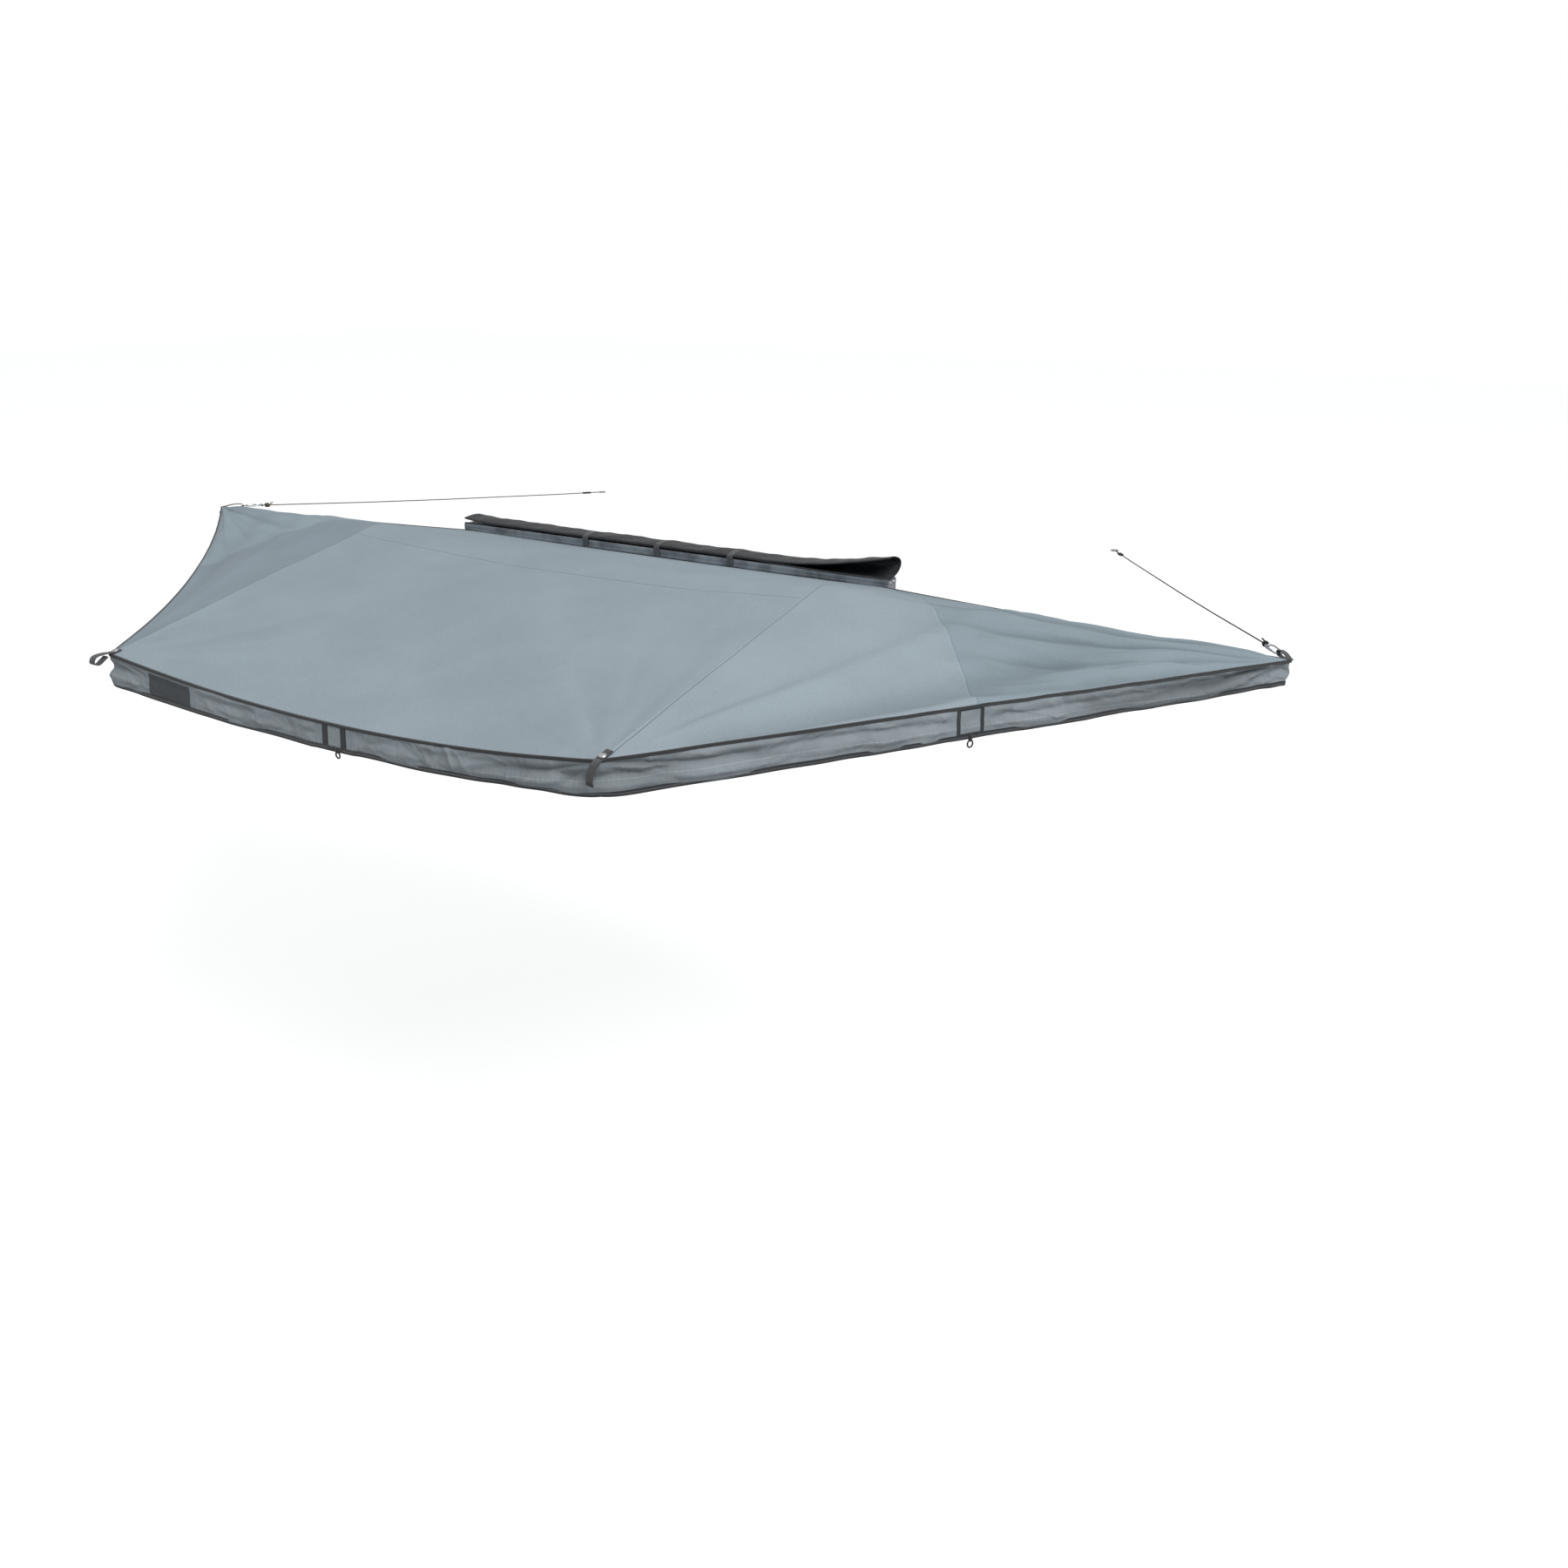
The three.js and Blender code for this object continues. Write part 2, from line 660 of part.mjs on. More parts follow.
// The centre line of a rafter, seen from its side: x runs out from the pivot, z is up
function armLine(side, role) {
  const pivot = pivotPlace(side, role);
  const corner = canopyCorner(side, role === 'inner' ? 'tip' : 'wingTip');
  const aim = armAim(side, role);
  const reach = Math.hypot(aim.x - pivot.x, aim.y - pivot.y);
  const neck = new THREE.Vector3(neckLength, 0, 0);
  const clothDrop = armDrop + pivot.z;
  if (role === 'outer') {
    return { neck, end: new THREE.Vector3(reach, 0, corner.z - clothDrop), crest: null };
  }
  const crestCorner = canopyCorner(side, 'crest');
  const crest = new THREE.Vector3(Math.abs(crestCorner.y - pivot.y), 0, crestCorner.z - clothDrop);
  const end = new THREE.Vector3(reach, 0, crest.z - (reach - crest.x) * panelFall(side));
  return { neck, end, crest };
}

// The point under the canopy's corner where the rafter ends
function armAim(side, role) {
  if (role === 'inner') {
    const tip = canopyCorner(side, 'tip');
    const toCrest = canopyCorner(side, 'crest').sub(tip).setZ(0).normalize();
    return tip.addScaledVector(toCrest, innerTipInset);
  }
  const tip = canopyCorner(side, 'wingTip');
  const toTip = canopyCorner(side, 'tip').sub(tip).setZ(0).normalize();
  const toHub = canopyCorner(side, 'hub').sub(tip).setZ(0).normalize();
  return tip.addScaledVector(toTip.add(toHub).normalize(), outerTipInset);
}

// Stations of the tube: straight for an outer rafter, with a round bend at the crest for an inner one
function armStations(line) {
  const { neck, end, crest } = line;
  const first = crest ?? end;
  const firstWay = first.clone().sub(neck).normalize();
  const start = neck.clone().addScaledVector(firstWay, collarLength + seatGap);
  if (!crest) return [start, end];
  const lastWay = end.clone().sub(crest).normalize();
  const halfTurn = firstWay.angleTo(lastWay) / 2;
  const tangent = bendRadius * Math.tan(halfTurn);
  const bend = new THREE.QuadraticBezierCurve3(
    crest.clone().addScaledVector(firstWay, -tangent),
    crest,
    crest.clone().addScaledVector(lastWay, tangent),
  );
  return [start, ...bend.getPoints(bendSteps), end];
}

// Knuckle: a barrel between the hub plates, a level neck, and a collar and plug along the tube
function knuckleGeometry(line) {
  const barrelHalf = plateGap / 2 - pivotPlay;
  const neckHalf = armWidth / 2 - seatGap;
  const barrel = bar('z', knuckleRadius, -barrelHalf, barrelHalf);
  const neckHeight = neckHalf * 0.8;
  const neck = block([0, -neckHalf, -neckHeight], [neckLength, neckHalf, neckHeight]);
  const way = (line.crest ?? line.end).clone().sub(line.neck);
  const collarHalf = armWidth / 2;
  const collar = block([-neckHeight / 2, -collarHalf, -neckHeight], [collarLength, collarHalf, neckHeight]);
  const plugHalf = armWidth / 2 - armWall - seatGap;
  const plug = block([0, -plugHalf, -plugHalf], [collarLength + plugLength, plugHalf, plugHalf]);
  const tilt = new THREE.Matrix4().makeRotationY(-Math.atan2(way.z, way.x));
  tilt.setPosition(line.neck);
  const bore = bar('z', boltRadius + pivotPlay, -plateGap, plateGap);
  return cut(joined(barrel, neck, collar.applyMatrix4(tilt), plug.applyMatrix4(tilt)), bore);
}

// Tip bracket: a plug in the tube, a block, two ears under it and the leg's pin
function tipGeometry() {
  const plugHalf = armWidth / 2 - armWall - seatGap;
  const half = armWidth / 2;
  const plug = block([-plugLength, -plugHalf, -plugHalf], [tipBlockLength / 2, plugHalf, plugHalf]);
  const head = block([seatGap, -half, -half], [tipBlockLength, half, half]);
  const earBottom = -legPinDrop - legPinRadius - earThickness;
  const ears = [-1, 1].map((way) => {
    const low = way > 0 ? half - earThickness : -half;
    return block([seatGap, low, earBottom], [tipBlockLength, low + earThickness, -half + overrun]);
  });
  const pin = bar('y', legPinRadius, -half + seatGap, half - seatGap);
  pin.translate(legPinReach, 0, -legPinDrop);
  return joined(plug, head, ...ears, pin);
}

// Leg, upper tube: an eye round the pin and a bore for the lower tube
function legUpperGeometry() {
  const eyeHalf = legEyeWidth / 2;
  const eye = bar('y', legRadius, -eyeHalf, eyeHalf);
  const cheek = block([0, -eyeHalf, -legRadius * 0.8], [legBoreStart, eyeHalf, legRadius * 0.8]);
  const tube = bar('x', legRadius, legBoreStart * 0.6, legUpperLength);
  const bore = bar('x', legRadius - legWall, legBoreStart, legUpperLength + overrun);
  const pinHole = bar('y', legPinRadius + pivotPlay, -legRadius, legRadius);
  return cut(joined(eye, cheek, tube), bore, pinHole);
}

function legLowerGeometry() {
  const radius = legRadius - legWall - seatGap;
  const end = legLowerStart + legLowerLength;
  const tube = bar('x', radius, legLowerStart, end);
  const bore = bar('x', radius - legWall, legLowerStart - overrun, end + overrun);
  return cut(tube, bore);
}

// Cam clamp on the end of the upper tube, with its lever along the leg
function legClampGeometry() {
  const start = legUpperLength - clampOverlap;
  const end = start + clampLength;
  const collar = bar('x', clampRadius, start, end);
  const lowerRadius = legRadius - legWall - seatGap;
  const overUpper = bar('x', legRadius + seatGap, start - overrun, legUpperLength + seatGap);
  const overLower = bar('x', lowerRadius + seatGap, start, end + overrun);
  const leverStart = end - clampLeverThickness * 2;
  const leverHalf = clampLeverWidth / 2;
  const leverTop = -clampRadius + clampLeverThickness / 2;
  const lever = block(
    [leverStart - clampLeverLength, -leverHalf, leverTop - clampLeverThickness],
    [leverStart, leverHalf, leverTop],
  );
  return cut(joined(collar, lever), overUpper, overLower);
}

// Foot: a rubber cup on the end of the lower tube
function legFootGeometry() {
  const tubeEnd = legLowerStart + legLowerLength;
  const end = tubeEnd + seatGap + footFloor;
  const radius = legRadius - legWall;
  const cup = bar('x', footRadius, end - footLength, end);
  const bore = bar('x', radius, end - footLength - overrun, tubeEnd + seatGap);
  return cut(cup, bore);
}

// One rafter with its knuckle, tip bracket and leg
function addArm(side, role) {
  const pivot = pivotPlace(side, role);
  const aim = armAim(side, role);
  const line = armLine(side, role);
  const name = `${side.name}_${role}`;
  const arm = new THREE.Group();
  arm.position.copy(pivot);
  arm.rotation.z = Math.atan2(aim.y - pivot.y, aim.x - pivot.x);
  awning.add(arm);
  place(`${name}_arm`, armTubeGeometry(armStations(line)), materials.rafter, arm);
  place(`${name}_knuckle`, knuckleGeometry(line), materials.coated, arm);

  const lastStart = line.crest ?? line.neck;
  const fall = Math.atan2(lastStart.z - line.end.z, line.end.x - lastStart.x);
  const end = new THREE.Group();
  end.position.copy(line.end);
  end.rotation.y = fall;
  arm.add(end);
  place(`${name}_tip_bracket`, tipGeometry(), materials.coated, end);

  const leg = new THREE.Group();
  leg.position.set(legPinReach, 0, -legPinDrop);
  leg.rotation.z = Math.PI;
  end.add(leg);
  place(`${name}_leg_upper`, legUpperGeometry(), materials.rafter, leg);
  place(`${name}_leg_clamp`, legClampGeometry(), materials.plastic, leg);
  place(`${name}_leg_lower`, legLowerGeometry(), materials.aluminium, leg);
  place(`${name}_leg_foot`, legFootGeometry(), materials.rubber, leg);
}

// A flat strap that follows a path in an upright plane, given as [along, up] points
function strapGeometry(path, width, thickness) {
  const points = path.map(([along, height]) => new THREE.Vector3(along, 0, height));
  const curve = new THREE.CatmullRomCurve3(points);
  const half = thickness / 2;
  const edge = (column, row, way) => {
    const share = row / loopSteps;
    const point = curve.getPoint(share);
    const tangent = curve.getTangent(share);
    const normal = new THREE.Vector3(-tangent.z, 0, tangent.x);
    point.addScaledVector(normal, way * half);
    point.y = (column - 0.5) * width;
    return point;
  };
  return skin(1, loopSteps, (column, row) => edge(column, row, 1), (column, row) => edge(column, row, -1));
}

// Tip straps: a tab over the edge at the front, an open loop at the back, loops for the cords
function loopPath(side, kind) {
  const lift = loopGapAboveSheet + loopThickness / 2;
  const edge = valanceFlare + loopThickness;
  const climb = panelFall(side);
  const far = loopWidth * 1.3;
  const near = loopWidth * 0.4;
  const reach = cordLoopReach;
  const paths = {
    tab: [
      [-far, lift + climb * far], [-near, lift + climb * near], [edge * 0.4, lift],
      [edge, -loopWidth * 0.3], [edge * 1.2, -loopWidth], [edge * 1.35, -loopWidth * 2.4],
    ],
    open: [
      [-far, lift + climb * far], [-near, lift + climb * near], [loopWidth * 0.8, loopWidth * 0.3],
      [loopWidth * 2.1, loopWidth * 0.2], [loopWidth * 2.5, -loopWidth * 0.5],
      [loopWidth * 1.9, -loopWidth * 0.8], [loopWidth * 1.1, -loopWidth * 0.4],
      [loopWidth * 0.6, -loopThickness],
    ],
    cord: [
      [-reach * 0.07, lift], [reach * 0.15, lift * 2], [reach * 0.55, reach * 0.1],
      [reach * 0.9, reach * 0.08], [reach, 0], [reach * 0.9, -reach * 0.089],
      [reach * 0.5, -reach * 0.07], [reach * 0.12, -reach * 0.05],
    ],
  };
  return paths[kind];
}

function addLoop(name, side, corner, kind, heading) {
  const strap = new THREE.Group();
  strap.position.copy(canopyCorner(side, corner));
  strap.rotation.z = heading;
  awning.add(strap);
  const width = kind === 'cord' ? cordLoopWidth : loopWidth;
  place(name, strapGeometry(loopPath(side, kind), width, loopThickness), materials.webbing, strap);
}

// Cover: a sleeve with a slot along its front, nearly shut along the rail and agape at its front end
function coverSection(x) {
  const fromEnd = THREE.MathUtils.clamp(1 - (coverEndX - x) / coverMouthLength, 0, 1);
  const fromStart = THREE.MathUtils.clamp(1 - (x - coverStartX) / coverTailLength, 0, 1);
  const gape = (coverMouthHeight - coverFlatHeight) * fromEnd * fromEnd;
  const tail = (coverTailHeight - coverFlatHeight) * fromStart * fromStart;
  const open = Math.max(fromEnd, fromStart * coverTailOpenShare);
  const halfHeight = (coverFlatHeight + gape + tail) / 2;
  return {
    halfHeight,
    halfDepth: (coverDepth * (1 + open)) / 2,
    middleY: (coverDepth * (1 - open)) / 2 - coverFrontInset,
    middleZ: railTop + seatGap + halfHeight,
    turn: THREE.MathUtils.degToRad(THREE.MathUtils.lerp(coverClosedTurn, coverOpenTurn, open)),
  };
}

// A point of the cover's section at an angle from its back, some way outside its outer face
function coverPoint(x, angle, outside) {
  const section = coverSection(x);
  const y = section.middleY + (section.halfDepth + outside) * Math.cos(angle);
  const z = section.middleZ + (section.halfHeight + outside) * Math.sin(angle);
  return new THREE.Vector3(x, y, z);
}

function coverGeometry() {
  const surface = (outside) => (column, row) => {
    const x = THREE.MathUtils.lerp(coverStartX, coverEndX, column / coverColumns);
    const angle = ((row / coverRows) * 2 - 1) * coverSection(x).turn;
    return coverPoint(x, angle, outside);
  };
  return skin(coverColumns, coverRows, surface(0), surface(-coverThickness));
}

// Cover strap: sewn on the cover's back, it comes over the cover and down the rail to the canopy
function addCoverStrap(x, index) {
  const lift = seatGap + strapThickness / 2;
  const over = strapAngles.map((angle) => {
    const point = coverPoint(x, THREE.MathUtils.degToRad(angle), lift);
    return [-point.y, point.z];
  });
  const front = railDepth + lift * 2;
  const path = [
    ...over,
    [railDepth - lift, railTop + coverFlatHeight * 0.6],
    [front, railTop + lift * 3],
    [front, railTop],
    [front, railTop / 3],
    [front, canopyEdgeZ + overrun],
  ];
  const strap = new THREE.Group();
  strap.position.x = x;
  strap.rotation.z = -Math.PI / 2;
  awning.add(strap);
  const shape = strapGeometry(path, strapWidth, strapThickness);
  place(`cover_strap_${index + 1}`, shape, materials.webbing, strap);
}

// Tension cord: snap hook at the canopy's loop, taut cord, line runner and the anchor ring
function ringGeometry(halfLength, halfWidth, wire, squareness) {
  const blunt = (value) => Math.sign(value) * Math.abs(value) ** squareness;
  const turnPoint = (step) => {
    const angle = (step / ringSteps) * 2 * Math.PI;
    return new THREE.Vector3(halfLength * blunt(Math.cos(angle)), halfWidth * blunt(Math.sin(angle)), 0);
  };
  const positions = [];
  const quads = [];
  for (let step = 0; step < ringSteps; step += 1) {
    const along = turnPoint(step + 1).sub(turnPoint(step - 1));
    const out = new THREE.Vector3(along.y, -along.x, 0).normalize();
    for (let row = 0; row < tubeSides; row += 1) {
      const angle = (row / tubeSides) * 2 * Math.PI;
      const point = turnPoint(step).addScaledVector(out, wire * Math.cos(angle));
      positions.push(...point.addScaledVector(up, wire * Math.sin(angle)).toArray());
      const here = step * tubeSides;
      const next = ((step + 1) % ringSteps) * tubeSides;
      const over = (row + 1) % tubeSides;
      quads.push([here + row, next + row, next + over, here + over]);
    }
  }
  return closedFromQuads(positions, quads);
}

function addCord(side, material) {
  const points = frontCordPoints.map(([x, y, z]) => new THREE.Vector3(side.sign * x, y, z));
  const first = points[0];
  const last = points[points.length - 1];
  const way = last.clone().sub(first).normalize();
  const heading = Math.atan2(way.y, way.x);
  const section = new THREE.Shape();
  section.absarc(0, 0, cordRadius, 0, 2 * Math.PI, false);
  const curve = new THREE.CatmullRomCurve3(points);
  const options = { steps: cordSteps, extrudePath: curve, curveSegments: cordQuarterSteps, bevelEnabled: false };
  place(`${side.name}_cord`, new THREE.ExtrudeGeometry(section, options), material);

  const hook = new THREE.Group();
  hook.position.copy(first).addScaledVector(way, -hookLength / 2 - hookWire - seatGap);
  hook.rotation.z = heading;
  awning.add(hook);
  const hookShape = ringGeometry(hookLength / 2, hookHalfWidth, hookWire, hookSquareness);
  place(`${side.name}_cord_hook`, hookShape, materials.steel, hook);

  const runner = new THREE.Group();
  const beforeLast = points[points.length - 2];
  const lastWay = last.clone().sub(beforeLast).normalize();
  runner.position.copy(beforeLast).lerp(last, runnerPlace);
  runner.rotation.set(0, -Math.asin(lastWay.z), Math.atan2(lastWay.y, lastWay.x), 'ZYX');
  awning.add(runner);
  const plate = block(
    [-runnerLength / 2, -runnerWidth / 2, -runnerThickness / 2],
    [runnerLength / 2, runnerWidth / 2, runnerThickness / 2],
  );
  const bore = bar('x', cordRadius + seatGap, -runnerLength, runnerLength, tubeSides);
  place(`${side.name}_cord_runner`, cut(plate, bore), materials.plastic, runner);

  const ring = new THREE.Group();
  ring.position.copy(last).addScaledVector(way, ringRadius + ringWire + seatGap);
  ring.rotation.z = heading;
  awning.add(ring);
  const ringShape = ringGeometry(ringRadius, ringRadius, ringWire, ringSquareness);
  place(`${side.name}_anchor_ring`, ringShape, materials.steel, ring);
}

// Assembly
const sides = [
  { name: 'rear', sign: -1, firstLane: 0, tipSpread: 0, tipPull: 0 },
  { name: 'front', sign: 1, firstLane: 1, tipSpread: frontTipSpread, tipPull: frontTipPull },
];

place('rail', railGeometry(), materials.aluminium);
place('cover', coverGeometry(), materials.cover);
strapPlaces.forEach(addCoverStrap);

for (const side of sides) {
  place(`${side.name}_rack_bracket`, bracketGeometry(side.sign * bracketSpacingHalf), materials.coated);
  place(`${side.name}_hub_bracket`, hubGeometry(side), materials.steel);
  for (const role of ['inner', 'outer']) {
    place(`${side.name}_${role}_pivot_bolt`, boltGeometry(pivotPlace(side, role)), materials.steel);
    addArm(side, role);
  }
  place(`${side.name}_centre_canopy`, centreGeometry(side), materials.canvas);
  place(`${side.name}_wing_canopy`, wingGeometry(side), materials.canvas);
  const cordHeading = Math.atan2(
    frontCordPoints.at(-1)[1] - frontCordPoints[0][1],
    side.sign * (frontCordPoints.at(-1)[0] - frontCordPoints[0][0]),
  );
  addLoop(`${side.name}_wing_loop`, side, 'wingTip', 'cord', cordHeading);
  addLoop(`${side.name}_tip_loop`, side, 'tip', side.sign > 0 ? 'tab' : 'open', -Math.PI / 2);
  addCord(side, side.sign > 0 ? materials.blackCord : materials.tanCord);
}

export default awning;
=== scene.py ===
import bpy
import numpy as np
from mathutils import Matrix, Vector
from numpy import cos, exp, pi, radians, sin
from numpy.linalg import norm


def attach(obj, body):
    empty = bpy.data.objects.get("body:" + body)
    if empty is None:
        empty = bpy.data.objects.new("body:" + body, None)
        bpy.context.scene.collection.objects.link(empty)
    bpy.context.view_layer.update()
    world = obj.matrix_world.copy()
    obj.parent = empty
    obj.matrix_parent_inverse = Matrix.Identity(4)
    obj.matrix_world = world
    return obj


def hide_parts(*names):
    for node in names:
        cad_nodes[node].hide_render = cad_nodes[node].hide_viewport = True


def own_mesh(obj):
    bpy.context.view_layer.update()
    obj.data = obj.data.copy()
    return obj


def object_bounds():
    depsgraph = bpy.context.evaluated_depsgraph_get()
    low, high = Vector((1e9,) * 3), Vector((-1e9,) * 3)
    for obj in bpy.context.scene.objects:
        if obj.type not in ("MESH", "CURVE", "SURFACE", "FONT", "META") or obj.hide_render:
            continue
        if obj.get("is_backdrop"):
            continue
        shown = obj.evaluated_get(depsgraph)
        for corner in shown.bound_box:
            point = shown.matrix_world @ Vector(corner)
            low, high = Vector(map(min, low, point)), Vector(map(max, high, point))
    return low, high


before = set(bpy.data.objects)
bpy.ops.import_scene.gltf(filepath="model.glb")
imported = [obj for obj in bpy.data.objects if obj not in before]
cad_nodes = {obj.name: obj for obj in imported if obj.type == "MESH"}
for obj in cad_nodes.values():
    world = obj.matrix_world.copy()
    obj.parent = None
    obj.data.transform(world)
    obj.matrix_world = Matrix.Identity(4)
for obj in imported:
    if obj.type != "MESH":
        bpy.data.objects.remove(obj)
cad_low, cad_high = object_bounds()


# The camera stands in front of the awning and to the right, a little above it, and looks down on the cloth.
# The floor lies where the ground would be, and the light is an even white sky with one soft lamp.
class Signal:
    """A value in a node tree. Sums and products of signals are math nodes."""

    def __init__(self, socket):
        self.socket = socket

    def __getitem__(self, name):
        return Signal(self.socket.node.outputs[name])

    def put(self, kind, inputs=None, out=0, **settings):
        return put(self.socket.id_data, kind, inputs, out, **settings)

    def calc(self, operation, other=0.0):
        return self.put("ShaderNodeMath", {0: self, 1: other}, operation=operation)

    def __add__(self, other):
        return self.calc("ADD", other)

    def __mul__(self, other):
        return self.calc("MULTIPLY", other)

    def __truediv__(self, other):
        return self.calc("DIVIDE", other)

    def __lt__(self, other):
        return self.calc("LESS_THAN", other)

    def __gt__(self, other):
        return self.calc("GREATER_THAN", other)

    def wave(self, cycle=2 * pi):
        return (self * cycle).calc("SINE")

    def vector(self, operation, other, out=0):
        return self.put("ShaderNodeVectorMath", {0: self, 1: other}, out, operation=operation)

    def axes(self):
        split = self.put("ShaderNodeSeparateXYZ", {0: self})
        return split, split["Y"], split["Z"]

    def through(self, group, **values):
        return self.put("ShaderNodeGroup", {"Vector": self, **values}, node_tree=group)

    def noise(self, scale, detail, **more):
        return self.put("ShaderNodeTexNoise", {"Vector": self, "Scale": scale, "Detail": detail, **more})

    def remap(self, low, high, to_low, to_high):
        limits = {"Value": self, "From Min": low, "From Max": high, "To Min": to_low, "To Max": to_high}
        return self.put("ShaderNodeMapRange", limits, interpolation_type="SMOOTHSTEP")

    def blend(self, first, second):
        """The first colour where the signal is 0, the second where it is 1."""
        first, second = ((*color, 1) if isinstance(color, tuple) else color for color in (first, second))
        return self.put("ShaderNodeMix", {0: self, 6: first, 7: second}, 2, data_type="RGBA")

    def bump(self, distance, strength=1.0):
        return self.put("ShaderNodeBump", {"Height": self, "Distance": distance, "Strength": strength})


def feed(node, values):
    """Sets each input, or links it where its value is a signal."""
    for name, value in values.items():
        if isinstance(value, Signal):
            node.id_data.links.new(value.socket, node.inputs[name])
        else:
            node.inputs[name].default_value = value


def put(tree, kind, inputs=None, out=0, **settings):
    made = tree.nodes.new(kind)
    for name, value in settings.items():
        setattr(made, name, value)
    feed(made, inputs or {})
    return Signal(made.outputs[out])


def new_finish(name, color, roughness, metallic=0.0, **sockets):
    finish = bpy.data.materials.new(name)
    finish.use_nodes = True
    surface = finish.node_tree.nodes["Principled BSDF"]
    feed(surface, {"Base Color": (*color, 1), "Roughness": roughness, "Metallic": metallic})
    feed(surface, {socket.replace("_", " "): value for socket, value in sockets.items()})
    return finish, finish.node_tree, surface


def new_object(name, data):
    made = bpy.data.objects.new(name, data)
    bpy.context.scene.collection.objects.link(made)
    return made


camera_right = Vector((0.88183, 0.47141, 0.01216))
camera_up = Vector((-0.19438, 0.33988, 0.92016))
camera_back = Vector((0.42964, -0.81379, 0.39135))
camera_data = bpy.data.cameras.new("camera")
camera_data.sensor_width, camera_data.lens = 36, 28.53
camera = new_object("camera", camera_data)
turn = Matrix((camera_right, camera_up, camera_back)).transposed().to_4x4()
camera.matrix_world = Matrix.Translation((2.6458, -4.0147, 1.0612)) @ turn
bpy.context.scene.camera = camera
bpy.context.scene.view_settings.view_transform = "Standard"

sky = bpy.data.worlds.new("sky")
sky.use_nodes = True
bpy.context.scene.world = sky
sky_nodes = sky.node_tree.nodes
feed(sky_nodes["Background"], {"Color": (0.96, 0.98, 1.0, 1), "Strength": 0.55})
rays = put(sky.node_tree, "ShaderNodeLightPath")
plain_white = rays["Is Camera Ray"].calc("MAXIMUM", rays["Is Transmission Ray"])
sky_seen = put(sky.node_tree, "ShaderNodeBackground", {"Color": (1, 1, 1, 1)})
sky_light = Signal(sky_nodes["Background"].outputs[0])
sky_mix = rays.put("ShaderNodeMixShader", {0: plain_white, 1: sky_light, 2: sky_seen})
feed(sky_nodes["World Output"], {0: sky_mix})

lamp_data = bpy.data.lights.new("soft_lamp", "AREA")
lamp_data.size, lamp_data.energy = 6.0, 1300
lamp = new_object("soft_lamp", lamp_data)
lamp.location = (9.0, -4.6, 10.5)
lamp.rotation_euler = (Vector((0, -0.8, 0)) - lamp.location).to_track_quat("-Z", "Y").to_euler()

ground, reach = -2.1, 40
floor_corners = ((-reach, -reach), (reach, -reach), (reach, reach), (-reach, reach))
floor_mesh = bpy.data.meshes.new("floor")
floor_mesh.from_pydata([(x, y, ground) for x, y in floor_corners], [], [(0, 1, 2, 3)])
floor_paint, tree, surface = new_finish("floor_paint", (0.5, 0.5, 0.5), 1.0, Specular_IOR_Level=0.0)
floor_glow = put(tree, "ShaderNodeLightPath")["Is Camera Ray"] * 0.72
feed(surface, {"Emission Color": (1, 1, 1, 1), "Emission Strength": floor_glow})
floor_mesh.materials.append(floor_paint)
new_object("floor", floor_mesh)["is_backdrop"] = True


# Two braided tension cords run back from the wing tips, black in front and tan behind. Each is knotted
# to a snap hook, carries a line runner, and ends in a steel ring.
def new_group(name, kind, inputs, outputs):
    """A node group. Each socket is given by its kind, or by its first value."""
    group = bpy.data.node_groups.new(name, f"{kind}NodeTree")
    for way, sockets in (("INPUT", inputs), ("OUTPUT", outputs)):
        for label, value in sockets.items():
            plain = "Vector" if isinstance(value, tuple) else "Float"
            kind = value if isinstance(value, str) else plain
            socket = group.interface.new_socket(label, in_out=way, socket_type=f"NodeSocket{kind}")
            if kind is plain:
                socket.default_value = value
    return group, Signal(group.nodes.new("NodeGroupInput").outputs[0]), group.nodes.new("NodeGroupOutput")


def cloth_map(tree):
    return put(tree, "ShaderNodeUVMap", uv_map="cloth")


def object_place(tree):
    return put(tree, "ShaderNodeTexCoord", out="Object")


braid, braid_in, braid_out = new_group(
    "braid", "Shader", {"Vector": (0, 0, 0), "Strands": 8.0, "Pitch": 0.006}, {"Height": 0.0}
)
around, along, _ = braid_in["Vector"].axes()
around, along = around * braid_in["Strands"], along / braid_in["Pitch"]
strands = [(around + along * way).wave().calc("ABSOLUTE") for way in (1.0, -1.0)]
feed(braid_out, {"Height": strands[0].calc("MAXIMUM", strands[1])})


def cord_finish(name, dark, light):
    finish, tree, surface = new_finish(name, light, 0.7)
    uv = cloth_map(tree)
    height = uv.through(braid)
    shade = height * uv.noise(60.0, 3.0).remap(0.35, 0.65, 0.7, 1.0)
    feed(surface, {"Base Color": shade.blend(dark, light), "Normal": height.bump(0.0004)})
    return finish


def new_piece(name, points, faces, uv, finish):
    mesh = bpy.data.meshes.new(name)
    mesh.from_pydata(np.asarray(points, float).tolist(), [], faces)
    corners = np.array([loop.vertex_index for loop in mesh.loops])
    uv = np.asarray(uv, float)[corners].astype(np.float32)
    mesh.uv_layers.new(name="cloth").data.foreach_set("uv", uv.ravel())
    mesh.polygons.foreach_set("use_smooth", [True] * len(mesh.polygons))
    mesh.materials.append(finish)
    return new_object(name, mesh)


def modify(piece, kind, **settings):
    made = piece.modifiers.new(kind.lower(), kind)
    for name, value in settings.items():
        setattr(made, name, value)
    return made


def settle(piece):
    """Makes what the modifiers give the piece's own mesh."""
    made = bpy.data.meshes.new_from_object(piece.evaluated_get(bpy.context.evaluated_depsgraph_get()))
    piece.modifiers.clear()
    piece.data = made
    return piece


def unit(v):
    v = np.asarray(v, float)
    return v / max(norm(v), 1e-12)


def run_of(line):
    """How far along the line each of its points lies."""
    return np.concatenate([[0], np.cumsum(norm(np.diff(line, axis=0), axis=1))])


